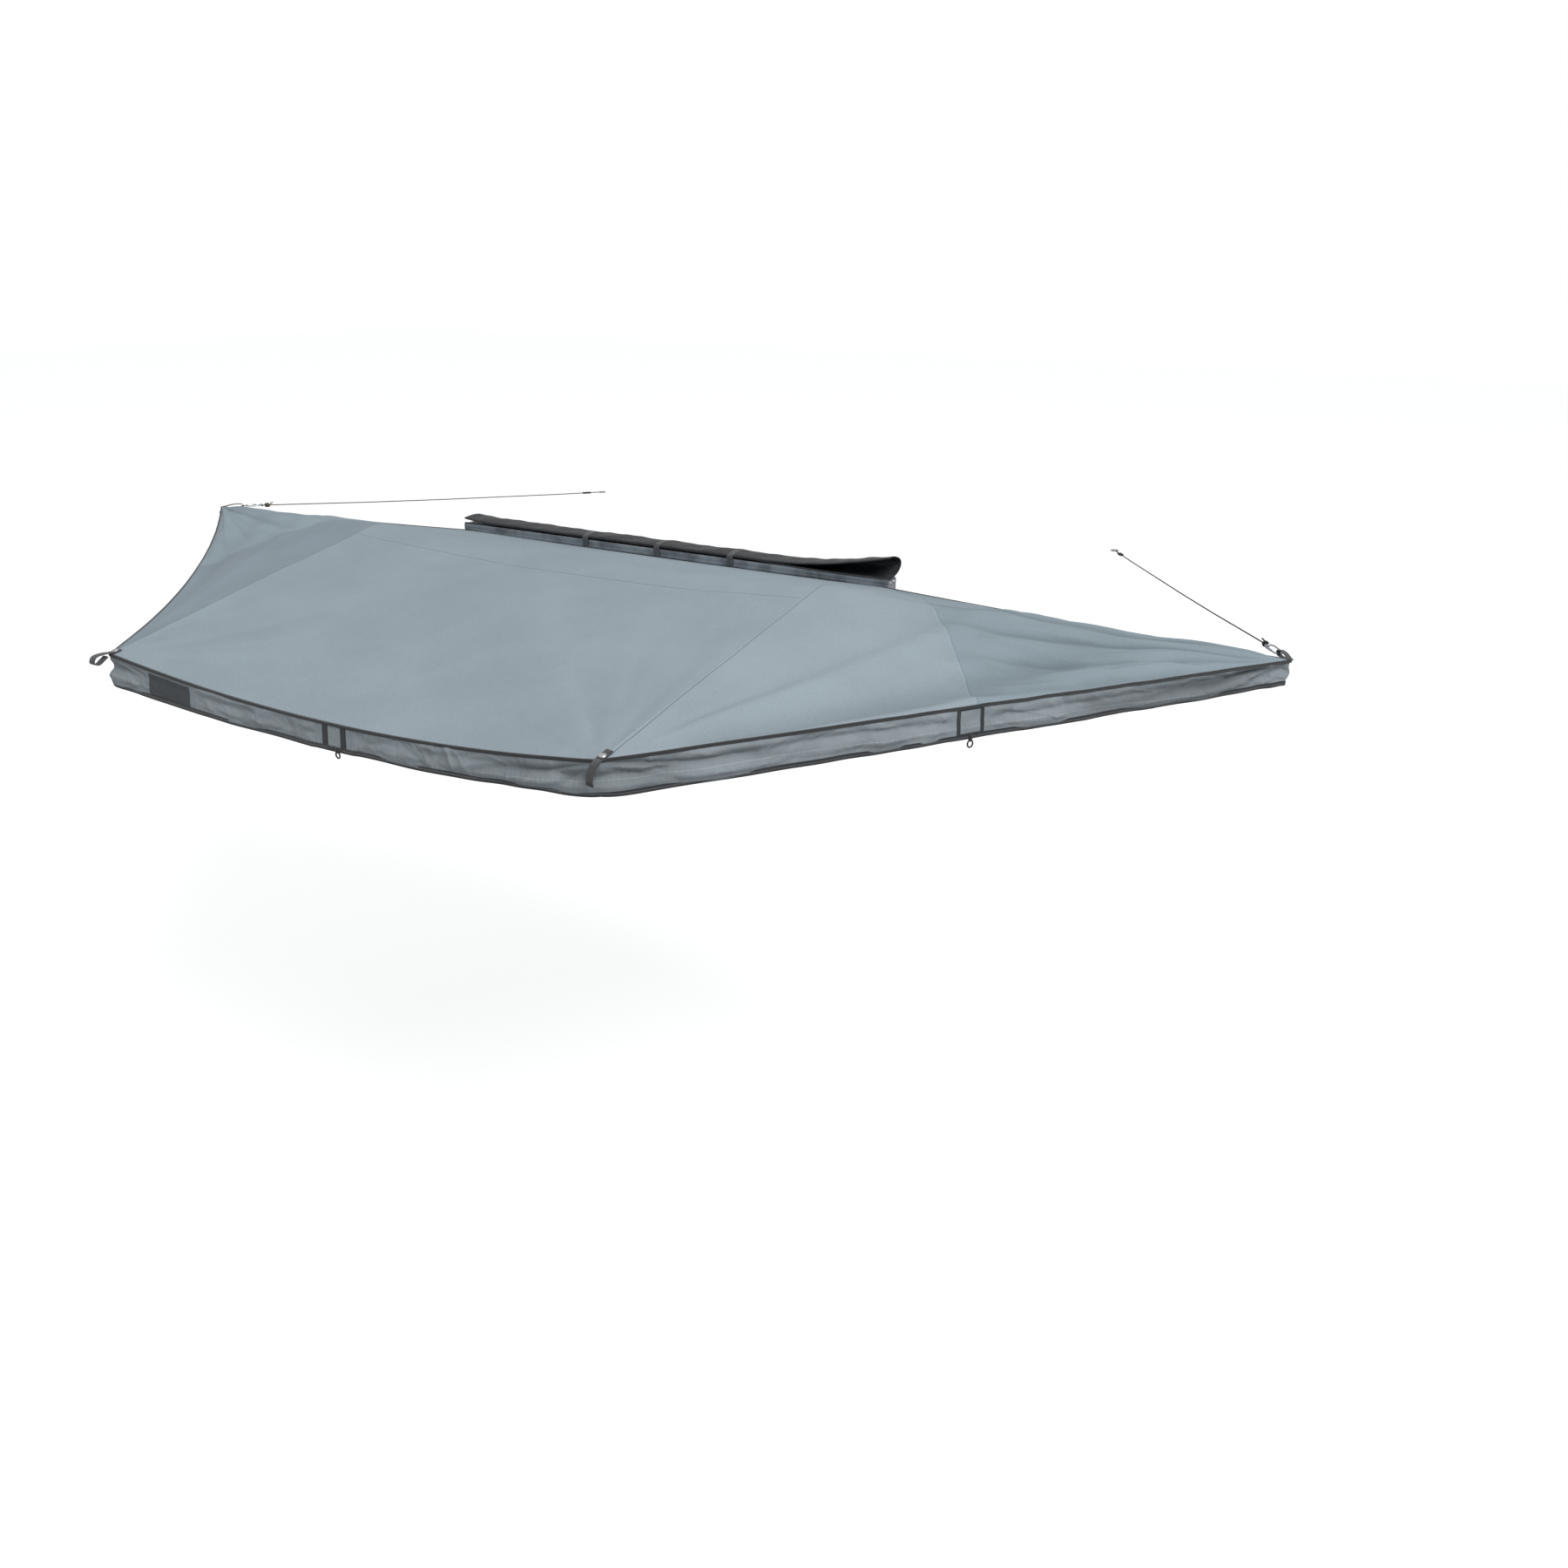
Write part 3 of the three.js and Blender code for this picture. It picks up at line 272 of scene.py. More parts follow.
def curve_through(points, steps):
    """A smooth line through given points."""
    points = np.asarray(points, float)
    padded = np.vstack([2 * points[0] - points[1], points, 2 * points[-1] - points[-2]])
    found = []
    for i in range(len(points) - 1):
        a, b, c, d = padded[i : i + 4]
        for t in np.linspace(0, 1, steps, endpoint=False):
            curve = (2 * a - 5 * b + 4 * c - d) * t**2 + (3 * b - a - 3 * c + d) * t**3
            found.append(0.5 * (2 * b + (c - a) * t + curve))
    return np.array([*found, points[-1]])


def ring_faces(count, sides, closed=False):
    """Faces between rings of points, shut at both ends or joined to themselves."""
    faces = []
    for i in range(count if closed else count - 1):
        here, there = i * sides, (i + 1) % count * sides
        for j in range(sides):
            k = (j + 1) % sides
            faces.append((here + j, here + k, there + k, there + j))
    if not closed:
        faces += [tuple(range(sides))[::-1], tuple(range((count - 1) * sides, count * sides))]
    return faces


def loft(name, rings, uv, finish, closed=False):
    faces = ring_faces(*np.shape(rings)[:2], closed)
    return new_piece(name, np.reshape(rings, (-1, 3)), faces, np.reshape(uv, (-1, 2)), finish)


def tube_along(name, path, radius, sides, finish, closed=False):
    """A round rod or cord along a path, with its ends shut and its pattern laid along it."""
    path = np.asarray(path, float)
    ahead = np.roll(path, -1, 0) - np.roll(path, 1, 0)
    if not closed:
        ahead[0], ahead[-1] = path[1] - path[0], path[-1] - path[-2]
    side = unit(np.cross(unit(ahead[0]), (0.13, 0.21, 0.97)))
    angles = 2 * pi * np.arange(sides) / sides
    rings, uv = [], []
    for point, way, size, run in zip(path, ahead, np.broadcast_to(radius, len(path)), run_of(path)):
        way = unit(way)
        side = unit(side - way * side.dot(way))
        ring = np.outer(cos(angles), side) + np.outer(sin(angles), np.cross(way, side))
        rings.append(point + size * ring)
        uv.append([(j / sides, run) for j in range(sides)])
    return loft(name, rings, uv, finish, closed)


def rides_and_shrinks(piece, body, axis, anchor, keep):
    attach(piece, body)
    tuple(axis)
    tuple(anchor)
    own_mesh(piece)


wire_finish, tree, surface = new_finish("bright_wire", (0.44, 0.45, 0.47), 0.24, 1.0)
feed(surface, {"Roughness": object_place(tree).noise(220.0, 4.0).remap(0.3, 0.7, 0.16, 0.34)})
runner_finish, tree, surface = new_finish("runner_plastic", (0.01, 0.01, 0.011), 0.55)
feed(surface, {"Normal": object_place(tree).noise(900.0, 3.0).bump(0.0002, 0.6)})

cord_diameter = 0.0045
front_route = [
    (2.227, -0.009, -0.037), (2.167, 0.096, -0.044), (2.107, 0.201, -0.051), (2.047, 0.306, -0.058),
    (1.987, 0.411, -0.065), (1.927, 0.516, -0.071), (1.867, 0.621, -0.077), (1.807, 0.727, -0.083),
    (1.747, 0.832, -0.088), (1.687, 0.937, -0.093), (1.627, 1.042, -0.098), (1.567, 1.147, -0.103),
    (1.507, 1.252, -0.108), (1.447, 1.357, -0.112), (1.387, 1.462, -0.116),
]
cord_looks = {
    "front": cord_finish("front_cord_braid", (0.004, 0.004, 0.005), (0.012, 0.012, 0.013)),
    "rear": cord_finish("rear_cord_braid", (0.045, 0.038, 0.024), (0.13, 0.11, 0.068)),
}
side_signs = {"rear": -1, "front": 1}
upward = np.array((0.0, 0.0, 1.0))
knot_turns, steps_a_turn, cord_keep = 5, 12, 0.06
for side, sign in side_signs.items():
    look = cord_looks[side]
    route = np.array(front_route) * (sign, 1, 1)
    line = curve_through(route, 6)
    start, along = route[0], unit(route[-1] - route[0])
    cord = tube_along(f"{side}_cord_line", line, cord_diameter / 2, 8, look)
    knot_side = unit(np.cross(along, upward))
    knot_up = np.cross(knot_side, along)
    coils = []
    for turns in np.arange(knot_turns * steps_a_turn + 1) / steps_a_turn:
        angle = 2 * pi * turns
        centre = start + along * (0.006 + 0.004 * turns)
        swell = 0.0052 + 0.003 * sin(pi * turns / knot_turns)
        coils.append(centre + swell * (knot_side * cos(angle) + knot_up * sin(angle)))
    coils.append(centre + along * 0.008 + knot_up * 0.009)
    coils.append(centre + along * 0.017 + knot_up * 0.011 - knot_side * 0.002)
    knot = tube_along(f"{side}_cord_knot", coils, cord_diameter / 2 + 0.0002, 8, look)
    fittings = {}
    for node in ("cord_hook", "cord_runner", "anchor_ring"):
        molded = node == "cord_runner"
        mesh = cad_nodes[f"{side}_{node}"].data.copy()
        mesh.materials.clear()
        mesh.materials.append(runner_finish if molded else wire_finish)
        part = new_object(f"{side}_{node}_piece", mesh)
        modify(part, "WELD", merge_threshold=0.00002)
        if molded:
            modify(part, "BEVEL", width=0.0012, segments=3, limit_method="ANGLE", angle_limit=radians(50))
        else:
            modify(part, "SUBSURF", levels=2, render_levels=2)
        settle(part).data.polygons.foreach_set("use_smooth", [not molded] * len(part.data.polygons))
        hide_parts(f"{side}_{node}")
        fittings[node] = part
    gate = [start - along * (0.051 - s) - knot_side * 0.0148 for s in (-0.024, -0.022, 0.022, 0.024)]
    gate = tube_along(f"{side}_hook_gate", gate, [0.0028, 0.0036, 0.0036, 0.0028], 12, wire_finish)
    swivel = [start - along * s for s in (0.0105, 0.0075, 0.0045, 0.0015)]
    swivel = tube_along(f"{side}_hook_swivel", swivel, [0.0042, 0.0058, 0.0058, 0.004], 14, wire_finish)
    for part in (cord, knot, *fittings.values(), gate, swivel):
        rides_and_shrinks(part, f"{side}_outer_rafter", along, start, cord_keep)
    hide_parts(f"{side}_cord")
    tuple(start)
    float(run_of(line)[-1])


# The rail is one long aluminium extrusion, satin anodised, with a keder groove along its front and its top.
# Its front and top carry the fine lines that the die leaves, and its ends are sawn square.
grain, grain_in, grain_out = new_group(
    "drawn_lines", "Shader",
    {"Vector": (0, 0, 0), "Stretch": (1, 1, 1), "Fineness": 400.0}, {"Lines": 0.0, "Marks": 0.0},
)
stretched = grain_in["Vector"].vector("MULTIPLY", grain_in["Stretch"])
feed(grain_out, {
    "Lines": stretched.noise(grain_in["Fineness"], 4.0),
    "Marks": grain_in["Vector"].noise(9.0, 6.0, Roughness=0.65),
})


def metal_finish(name, color, dull_color, roughness, fineness, depth, metallic=1.0, stretch=(1, 1, 1)):
    finish, tree, surface = new_finish(name, color, roughness, metallic)
    marks = object_place(tree).through(grain, Stretch=stretch, Fineness=fineness)
    worn = marks["Marks"].remap(0.38, 0.66, 0.0, 1.0)
    rough = marks["Lines"].remap(0.3, 0.7, roughness - 0.07, roughness + 0.09)
    feed(surface, {
        "Base Color": worn.blend(color, dull_color),
        "Roughness": rough + worn * 0.06, "Normal": marks["Lines"].bump(depth),
    })
    return finish


shade_tree, shade_in, shade_out = new_group(
    "shade_by_angle", "Geometry", {"Geometry": "Geometry"}, {"Geometry": "Geometry"}
)
all_smooth = shade_in.put("GeometryNodeSetShadeSmooth", {"Geometry": shade_in}, domain="FACE")
edge_angle = shade_in.put("GeometryNodeInputMeshEdgeAngle")
gentle = shade_in.put("FunctionNodeCompare", {"A": edge_angle, "B": radians(32)}, operation="LESS_THAN")
by_angle = {"Geometry": all_smooth, "Shade Smooth": gentle}
feed(shade_out, {0: shade_in.put("GeometryNodeSetShadeSmooth", by_angle, domain="EDGE")})


def dress(node, finish, edge=0.0):
    """A CAD piece whose shape is right gets its finish, and a machined edge where it has one."""
    piece = cad_nodes[node]
    for place in piece.material_slots:
        place.material = finish
    modify(piece, "WELD", merge_threshold=0.00001)
    if edge:
        modify(
            piece, "BEVEL", width=edge, segments=2, limit_method="ANGLE", angle_limit=radians(40),
            use_clamp_overlap=True,
        )
    modify(piece, "NODES", node_group=shade_tree)


rail_finish = metal_finish(
    "rail_anodised", (0.46, 0.48, 0.5), (0.24, 0.25, 0.265), 0.34, 900.0, 0.0002, stretch=(0.02, 1, 1)
)
dress("rail", rail_finish, 0.0006)


# Two rack brackets of folded steel, powder coated black, are clamped to the T-slot in the rail's back.
# Oblong holes in their feet take the bolts that hold the awning.
coat_finish = metal_finish(
    "black_powder_coat", (0.02, 0.02, 0.022), (0.03, 0.03, 0.032), 0.42, 1600.0, 0.00018, 0.0
)
for side in side_signs:
    dress(f"{side}_rack_bracket", coat_finish, 0.0008)


# A bright zinc-plated hub bracket is bolted to each end of the rail, and one M12 bolt holds each rafter
# in it. Button-head screws fix its flange to the rail's front, and its cap to the rail's end.
zinc_finish = metal_finish(
    "bright_zinc", (0.62, 0.63, 0.66), (0.46, 0.47, 0.48), 0.26, 240.0, 0.0001
)
set_tree, set_in, set_out = new_group(
    "set_at_points", "Geometry",
    {"Geometry": "Geometry", "Shape": "Object", "Finish": "Material"}, {"Geometry": "Geometry"},
)
facing = set_in.put("GeometryNodeInputNamedAttribute", {"Name": "facing"}, data_type="FLOAT_VECTOR")
shape = set_in.put("GeometryNodeObjectInfo", {"Object": set_in["Shape"]}, "Geometry")
turned = set_in.put("FunctionNodeAlignRotationToVector", {"Vector": facing}, axis="Z")
placed = {"Points": set_in, "Instance": shape, "Rotation": turned}
each = set_in.put("GeometryNodeInstanceOnPoints", placed)
each = set_in.put("GeometryNodeRealizeInstances", {"Geometry": each})
feed(set_out, {0: set_in.put("GeometryNodeSetMaterial", {"Geometry": each, "Material": set_in["Finish"]})})


def lathe_mesh(name, profile, sides, socket=None):
    """A turned shape on +Z from (radius, height) points, with a hexagon (radius, depth) socket in its top."""
    angles = 2 * pi * np.arange(sides) / sides
    rings = [(radius * np.ones(sides), height) for radius, height in profile]
    if socket:
        hexagon = socket[0] * cos(pi / 6) / cos(angles % (pi / 3) - pi / 6)
        rings += [(hexagon, profile[-1][1]), (hexagon * 0.96, profile[-1][1] - socket[1])]
    points = [(r * cos(a), r * sin(a), height) for reach, height in rings for r, a in zip(reach, angles)]
    mesh = bpy.data.meshes.new(name)
    mesh.from_pydata(points, [], ring_faces(len(rings), sides))
    return mesh


def repeated(name, points, facings, shape, finish):
    """One piece with the shape set at every point, turned to face out."""
    mesh = bpy.data.meshes.new(name)
    mesh.from_pydata(np.asarray(points, float).tolist(), [], [])
    facings = np.asarray(facings, np.float32)
    mesh.attributes.new("facing", "FLOAT_VECTOR", "POINT").data.foreach_set("vector", facings.ravel())
    piece = new_object(name, mesh)
    pattern = bpy.data.objects.new(f"{name}_pattern", shape)
    repeat = modify(piece, "NODES", node_group=set_tree)
    keys = {s.name: s.identifier for s in set_tree.interface.items_tree if s.in_out == "INPUT"}
    repeat[keys["Shape"]], repeat[keys["Finish"]] = pattern, finish
    settle(piece)
    bpy.data.objects.remove(pattern)
    return piece


button_profile = [(0.0052, 0.0), (0.0055, 0.0006), (0.0053, 0.0016), (0.0045, 0.0026), (0.0033, 0.0031)]
button_screw = lathe_mesh("button_screw", button_profile, 24, (0.0021, 0.0016))
cap_face, flange_face = 0.9643, -0.0643
for side, sign in side_signs.items():
    dress(f"{side}_hub_bracket", zinc_finish, 0.0007)
    for role in ("inner", "outer"):
        dress(f"{side}_{role}_pivot_bolt", zinc_finish, 0.0005)
    places = [(sign * cap_face, y, z) for z in (0.006, -0.03) for y in (-0.044, -0.016)]
    places += [(sign * x, flange_face, z) for x, z in ((0.897, -0.025), (0.897, -0.044), (0.952, -0.025))]
    facings = [(sign, 0, 0)] * 4 + [(0, -1, 0)] * 3
    screws = repeated(f"{side}_hub_screws", places, facings, button_screw, zinc_finish)
    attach(screws, "rail_assembly")


# Four rafters of square aluminium tube turn in the hubs on black coated knuckles. The inner pair is cranked,
# which lifts the cloth into a crest. A black tip bracket in each end carries the pin of the leg.
tube_finish = metal_finish(
    "rafter_tube", (0.5, 0.52, 0.54), (0.38, 0.4, 0.41), 0.38, 500.0, 0.0001, stretch=(1, 1, 0.3)
)
rafters = [f"{side}_{role}" for side in side_signs for role in ("inner", "outer")]
for rafter in rafters:
    dress(f"{rafter}_arm", tube_finish)
    dress(f"{rafter}_knuckle", coat_finish, 0.0006)
    dress(f"{rafter}_tip_bracket", coat_finish, 0.0006)


# A telescopic leg is stowed under each rafter: an upper tube with a cam clamp of black plastic on its end,
# a lower tube that draws out, and a rubber foot.
leg_finish = metal_finish(
    "leg_tube", (0.56, 0.58, 0.6), (0.45, 0.47, 0.48), 0.3, 700.0, 0.00008, stretch=(1, 1, 0.3)
)
plastic_finish = metal_finish(
    "clamp_plastic", (0.014, 0.014, 0.015), (0.022, 0.022, 0.023), 0.48, 1400.0, 0.0002, 0.0
)
rubber_finish = metal_finish(
    "foot_rubber", (0.012, 0.012, 0.012), (0.028, 0.027, 0.026), 0.78, 700.0, 0.0003, 0.0
)
for rafter in rafters:
    dress(f"{rafter}_leg_upper", tube_finish)
    dress(f"{rafter}_leg_lower", leg_finish)
    dress(f"{rafter}_leg_clamp", plastic_finish, 0.0008)
    dress(f"{rafter}_leg_foot", rubber_finish, 0.001)


# The canopy is one peaked sheet of blue-grey polycotton in four sections: two centre halves between the
# cranked rafters, and two wings that run out to the tips. Flat-felled seams join the panels, and the cloth
# creases at the tips.
def ramp(value):
    return np.clip(value, 0, 1)


def bell(value):
    return exp(-(value**2))


cloth_thickness = 0.0016
rail_edge_y = -0.0603
hub_corner = np.array((0.94, rail_edge_y, -0.01))
crest_corner = np.array((0.936, -0.5703, 0.105))
tip_corners = {"rear": np.array((0.878, -1.7603, -0.085)), "front": np.array((0.923, -1.7283, -0.085))}
wing_corner = np.array((2.316, -0.1653, -0.031))
strip_rows, panel_rows, centre_columns, wing_columns = 24, 88, 44, 66
strip_length, panel_length, crest_softness, crest_fall = 0.5228, 1.2065, 0.045, 0.0042

# Each row's place: the rail is 0, the crest 1 and the outer edge 2. The rounded crest lies under the sharp
# one, and the folds die away towards the rail and the piped outer edge, which are drawn taut.
panel_at = 1 + np.linspace(0, 1, panel_rows + 1)[1:]
row_at = np.concatenate([np.linspace(0, 1, strip_rows + 1), panel_at])[:, None]
on_strip, on_panel = ramp(row_at), ramp(row_at - 1)
from_crest = np.where(row_at < 1, (1 - row_at) * strip_length, (row_at - 1) * panel_length)
crest_drop = crest_fall * ramp(1 - from_crest / crest_softness) ** 2
row_fade = ramp(row_at / 0.12) * (1 - 0.85 * ramp((on_panel - 0.8) / 0.2) ** 2)

# Fans of small folds at a tip: reach, height and phase. Pulls from one start: end, width and height.
# Folds from a wing tip: place between the rail side (0) and the outer edge (1), height, start, end, spread.
tip_fan, wing_fan = (0.5, 0.004, 0.3), (0.6, 0.008, 1.1)
pull_start = (0.93, -1.7)
pulls = (
    (1.75, -0.5, 0.036, -0.021), (1.98, -0.42, 0.026, 0.02), (1.45, -0.47, 0.03, 0.015),
    (2.1, -0.55, 0.022, -0.017),
)
wing_rays = (
    (0.06, 0.002, 0.1, 1.25, 0.014), (0.13, -0.006, 0.25, 1.25, 0.014), (0.19, 0.004, 0.08, 1.2, 0.012),
    (0.25, -0.007, 0.06, 0.95, 0.01), (0.3, 0.005, 0.08, 1.2, 0.012), (0.36, -0.006, 0.1, 1.28, 0.012),
    (0.44, 0.006, 0.1, 1.28, 0.014), (0.52, -0.006, 0.06, 1.1, 0.01), (0.6, 0.005, 0.12, 1.2, 0.014),
    (0.7, -0.004, 0.1, 1.1, 0.012), (0.8, 0.004, 0.16, 1.15, 0.014), (0.9, -0.007, 0.2, 1.1, 0.016),
)
ray_start, ray_angle = 0.076, 0.92
# How dark the painted shade is in the hollows of the pulls and of the wing folds, for each metre of their
# depth.
pull_shade, ray_shade = 11, 50


def creases(x, y):
    """Soft folds: fans from the tips, long pulls across the wings, and slack along the rail. Gives their
    height, and the painted shade in the hollows of the pulls and the wing folds, weaker on the rear side."""
    ax, front = np.abs(x), x > 0
    lift, hollow = np.zeros_like(x), np.zeros_like(x)
    tip_x, tip_y = (np.where(front, tip_corners["front"][k], tip_corners["rear"][k]) for k in (0, 1))
    for cx, cy, (reach, depth, phase) in ((tip_x, tip_y, tip_fan), (2.316, -0.165, wing_fan)):
        radius, angle = np.hypot(ax - cx, y - cy), np.arctan2(y - cy, ax - cx)
        fade = ramp(radius / 0.12) ** 1.3 * exp(-radius / reach)
        phase = phase + np.where(front, 0.0, 1.7)
        fan = sin(angle * 13 + phase) + 0.6 * sin(angle * 24 + 2 * phase) + 0.4 * sin(angle * 43 + phase)
        lift += depth * fade * fan * ramp(ax / 0.3)
    px, py = pull_start
    for qx, qy, width, depth in pulls:
        way = unit((qx - px, qy - py))
        along = (ax - px) * way[0] + (y - py) * way[1]
        across = (ax - px) * way[1] - (y - py) * way[0]
        spread = width * (0.45 + along)
        band = bell(across / np.maximum(spread, 0.02))
        band = band * ramp(along / 0.3) * ramp((1.9 - along) / 0.6)
        lift += depth * band * np.where(front, 1.0, 0.5)
        # The hollows of the pulls and the wing folds get painted shade, at three tenths of its strength on
        # the rear side.
        hollow += max(0.0, -depth) * pull_shade * band * np.where(front, 1.0, 0.3)
    dx, dy = wing_corner[0] - ax, y - wing_corner[1]
    radius = np.hypot(dx, dy)
    share = (np.arctan2(-dy, dx) + ray_start) / ray_angle
    for place, ridge, start, stop, spread in wing_rays:
        off = (share - place - 0.006 * sin(radius * 9 + place * 50)) * radius * ray_angle
        band = exp(-np.abs(off / (0.003 + spread * radius)) ** 1.4)
        band = band * ramp((radius - start) / 0.22) * ramp((stop - radius) / 0.3)
        lift += ridge * band * np.where(front, 1.5, 0.8)
        hollow += max(0.0, -ridge) * ray_shade * band * np.where(front, 1.0, 0.3)
    beyond = ramp((ax - 1.36) / 0.22) * ramp((2.28 - ax) / 0.35)
    across = (y + 0.435) * 0.965 - (ax - 1.298) * 0.262
    folds = sin(across * 62 + 0.9 * sin(ax * 9)) + 0.5 * sin(across * 121 + 1.3 * sin(ax * 7))
    lift += 0.005 * beyond * folds * np.where(front, 1.0, 0.5)
    rail_slack = bell((y - rail_edge_y) / 0.1) * ramp((0.93 - ax) / 0.1)
    rail_slack = rail_slack * ramp((rail_edge_y - y) / 0.03)
    lift += 0.002 * rail_slack * sin(ax * 47 + 1.4 * sin(ax * 11))
    lift += 0.0022 * sin(x * 9.1 + 1.3 * sin(y * 5.2)) * sin(y * 7.7 + 1.1 * sin(x * 4.3))
    lift += 0.001 * sin(x * 23 + 2.1 * sin(y * 9)) * sin(y * 19 + 1.7 * sin(x * 8))
    return lift, hollow


def section_cloth(side, sign, part):
    """Rows from the rail to the outer edge, columns from the rafter's seam to the middle or the wing tip."""
    tip = tip_corners[side]
    seam = hub_corner + (crest_corner - hub_corner) * on_strip + (tip - crest_corner) * on_panel
    if part == "centre":
        out = 1 - np.linspace(0, 1, centre_columns + 1)[None, :]
        bow = 1 - out**2
        base = seam[:, None, :] * np.ones((1, centre_columns + 1, 1))
        sag = np.where(row_at < 1, 0.004 + 0.026 * row_at, 0.03 + 0.051 * on_panel)
        base[..., 0] *= out
        base[..., 1] += 0.03 * on_panel**2 * bow - sign * 0.016 * on_panel * (1 - out)
        base[..., 2] -= sag * bow + crest_drop * 0.9
        fade = row_fade
    else:
        w = 1 - (1 - np.linspace(0, 1, wing_columns + 1)[None, :]) ** 1.08
        bow = 4 * w * (1 - w)
        edge = wing_corner - tip
        inward = unit((-abs(edge[1]), abs(edge[0]), 0))
        base = seam[:, None, :] + (wing_corner - seam[:, None, :]) * w[..., None]
        base = base + inward * (0.06 * bow * on_panel**2)[..., None]
        base[..., 2] -= bow * (0.027 * on_panel + 0.005 * (1 - on_strip)) + crest_drop * (1 - w) ** 0.5
        fade = ramp((1 - w) / 0.06) * row_fade
    base[..., 0] *= sign
    flat = base[..., :2].copy()
    lift, hollow = creases(base[..., 0], base[..., 1])
    base[..., 2] += lift * fade
    return base, flat, hollow * fade


def grid_area(grid):
    a, b, c, d = grid[:-1, :-1], grid[:-1, 1:], grid[1:, 1:], grid[1:, :-1]
    halves = (norm(np.cross(p - a, q - a), axis=-1) for p, q in ((b, c), (c, d)))
    return float(sum(halves).sum() / 2)


def cloth_piece(name, grid, flat, finish, flip, thickness, hollow=None, rounded=False):
    """A sheet with its thickness under it. Points that meet, as at a tip, are made one."""
    rows, columns = grid.shape[:2]
    starts = (i * columns + j for i in range(rows - 1) for j in range(columns - 1))
    faces = [(a, a + 1, a + columns + 1, a + columns)[:: -1 if flip else 1] for a in starts]
    piece = new_piece(name, grid.reshape(-1, 3), faces, flat.reshape(-1, 2), finish)
    # The hollow attribute carries the painted shade of the fold hollows to the finish.
    if hollow is not None:
        piece.data.attributes.new("hollow", "FLOAT", "POINT").data.foreach_set("value", hollow.ravel())
    modify(piece, "WELD", merge_threshold=0.0004)
    if rounded:
        modify(piece, "SUBSURF", levels=1, render_levels=1, boundary_smooth="PRESERVE_CORNERS")
    modify(piece, "SOLIDIFY", thickness=thickness, offset=-1)
    modify(piece, "NODES", node_group=shade_tree)
    return settle(piece)


def follow_cloth(piece, side, part):
    """The piece rides with its section's rafter."""
    sign = side_signs[side]
    if part == "centre":
        body, axis, anchor = f"{side}_inner_rafter", (1, 0, 0), (sign * 0.905, -0.9, 0)
    else:
        body, axis, anchor = f"{side}_outer_rafter", (0, 1, 0), (sign * 1.6, -0.172, 0)
    rides_and_shrinks(piece, body, axis, anchor, 0.05)


weave, weave_in, weave_out = new_group(
    "plain_weave", "Shader", {"Vector": (0, 0, 0), "Thread": 0.0012}, {"Height": 0.0, "Slub": 0.0}
)
warp, weft = ((axis / weave_in["Thread"]).wave() for axis in weave_in["Vector"].axes()[:2])
feed(weave_out, {"Height": warp * weft, "Slub": weave_in["Vector"].noise(130.0, 5.0, Roughness=0.7)})

seam_line, seam_in, seam_out = new_group(
    "flat_felled_seam", "Shader",
    {"Vector": (0, 0, 0), "Start": (0, 0, 0), "Way": (1, 0, 0), "Length": 1.0, "Width": 0.014},
    {"Band": 0.0, "Edge": 0.0, "Beyond": 0.0, "Pucker": 0.0},
)
pucker_pitch, thread_half = 0.011, 0.0016
from_start = seam_in["Vector"].vector("SUBTRACT", seam_in["Start"])
along = from_start.vector("DOT_PRODUCT", seam_in["Way"], "Value")
across = seam_in["Way"].vector("CROSS_PRODUCT", from_start).axes()[2]
off, half = across.calc("ABSOLUTE"), seam_in["Width"] * 0.5
inside = (along > 0.0) * (along < seam_in["Length"])
stitches = across.calc("SUBTRACT", half).calc("ABSOLUTE") < thread_half
feed(seam_out, {
    "Band": (off < half) * inside, "Edge": stitches * inside, "Beyond": across > 0.0,
    "Pucker": along.wave(2 * pi / pucker_pitch) * off.remap(0.006, 0.022, 1.0, 0.0) * inside,
})


def fold_shaded(tree, color):
    """The colour, darkened by painted shade in the hollows of the folds, as the hollow attribute holds it."""
    return put(tree, "ShaderNodeAttribute", out="Fac", attribute_name="hollow").blend(color, (0.0, 0.0, 0.0))


def canopy_finish(name, tint, seams, zones):
    """Matte polycotton with drifting tone and slubs. Seams: start, end, width, light band and dark line."""
    cloth = {"Sheen_Weight": 0.08, "Sheen_Roughness": 0.45, "Specular_IOR_Level": 0.18}
    finish, tree, surface = new_finish(name, tint, 0.86, **cloth)
    uv = cloth_map(tree)
    threads = uv.through(weave)

    def line_at(start, end, width):
        way = tuple(unit((end[0] - start[0], end[1] - start[1], 0)))
        length = norm(np.subtract(end, start))
        return uv.through(seam_line, Start=(*start, 0), Way=way, Length=length, Width=width)

    color, height = tint, threads["Height"] * 0.0001
    # Past each zone's line the cloth takes the zone's tint: lit and shaded copies of the cloth, painted light
    # and shade.
    for (start, end), zone_tint in zones:
        color = line_at(start, end, 0.014)["Beyond"].blend(color, zone_tint)
    light, dark = tuple(min(1.0, c * 1.25) for c in tint), tuple(c * 0.4 for c in tint)
    for (start, end), width, light_share, dark_share in seams:
        line = line_at(start, end, width)
        color = (line["Band"] * light_share).blend(color, light)
        color = (line["Edge"] * dark_share).blend(color, dark)
        height = height + line["Band"] * 0.0005 + line["Pucker"] * (0.0005 * dark_share)
    tone = uv.noise(2.3, 5.0, Roughness=0.6).remap(0.3, 0.7, 0.95, 1.05)
    shade = tone * threads["Slub"].remap(0.3, 0.7, 0.955, 1.045)
    color = color.put("ShaderNodeVectorMath", {0: color, "Scale": shade}, operation="SCALE")
    crumple = uv.noise(13.0, 7.0, Roughness=0.6, Distortion=0.6) * 0.0055
    feed(surface, {
        "Base Color": fold_shaded(tree, color), "Normal": (height + crumple).bump(1.0, 0.8),
        "Roughness": threads["Slub"].remap(0.2, 0.8, 0.8, 0.93),
    })
    return finish


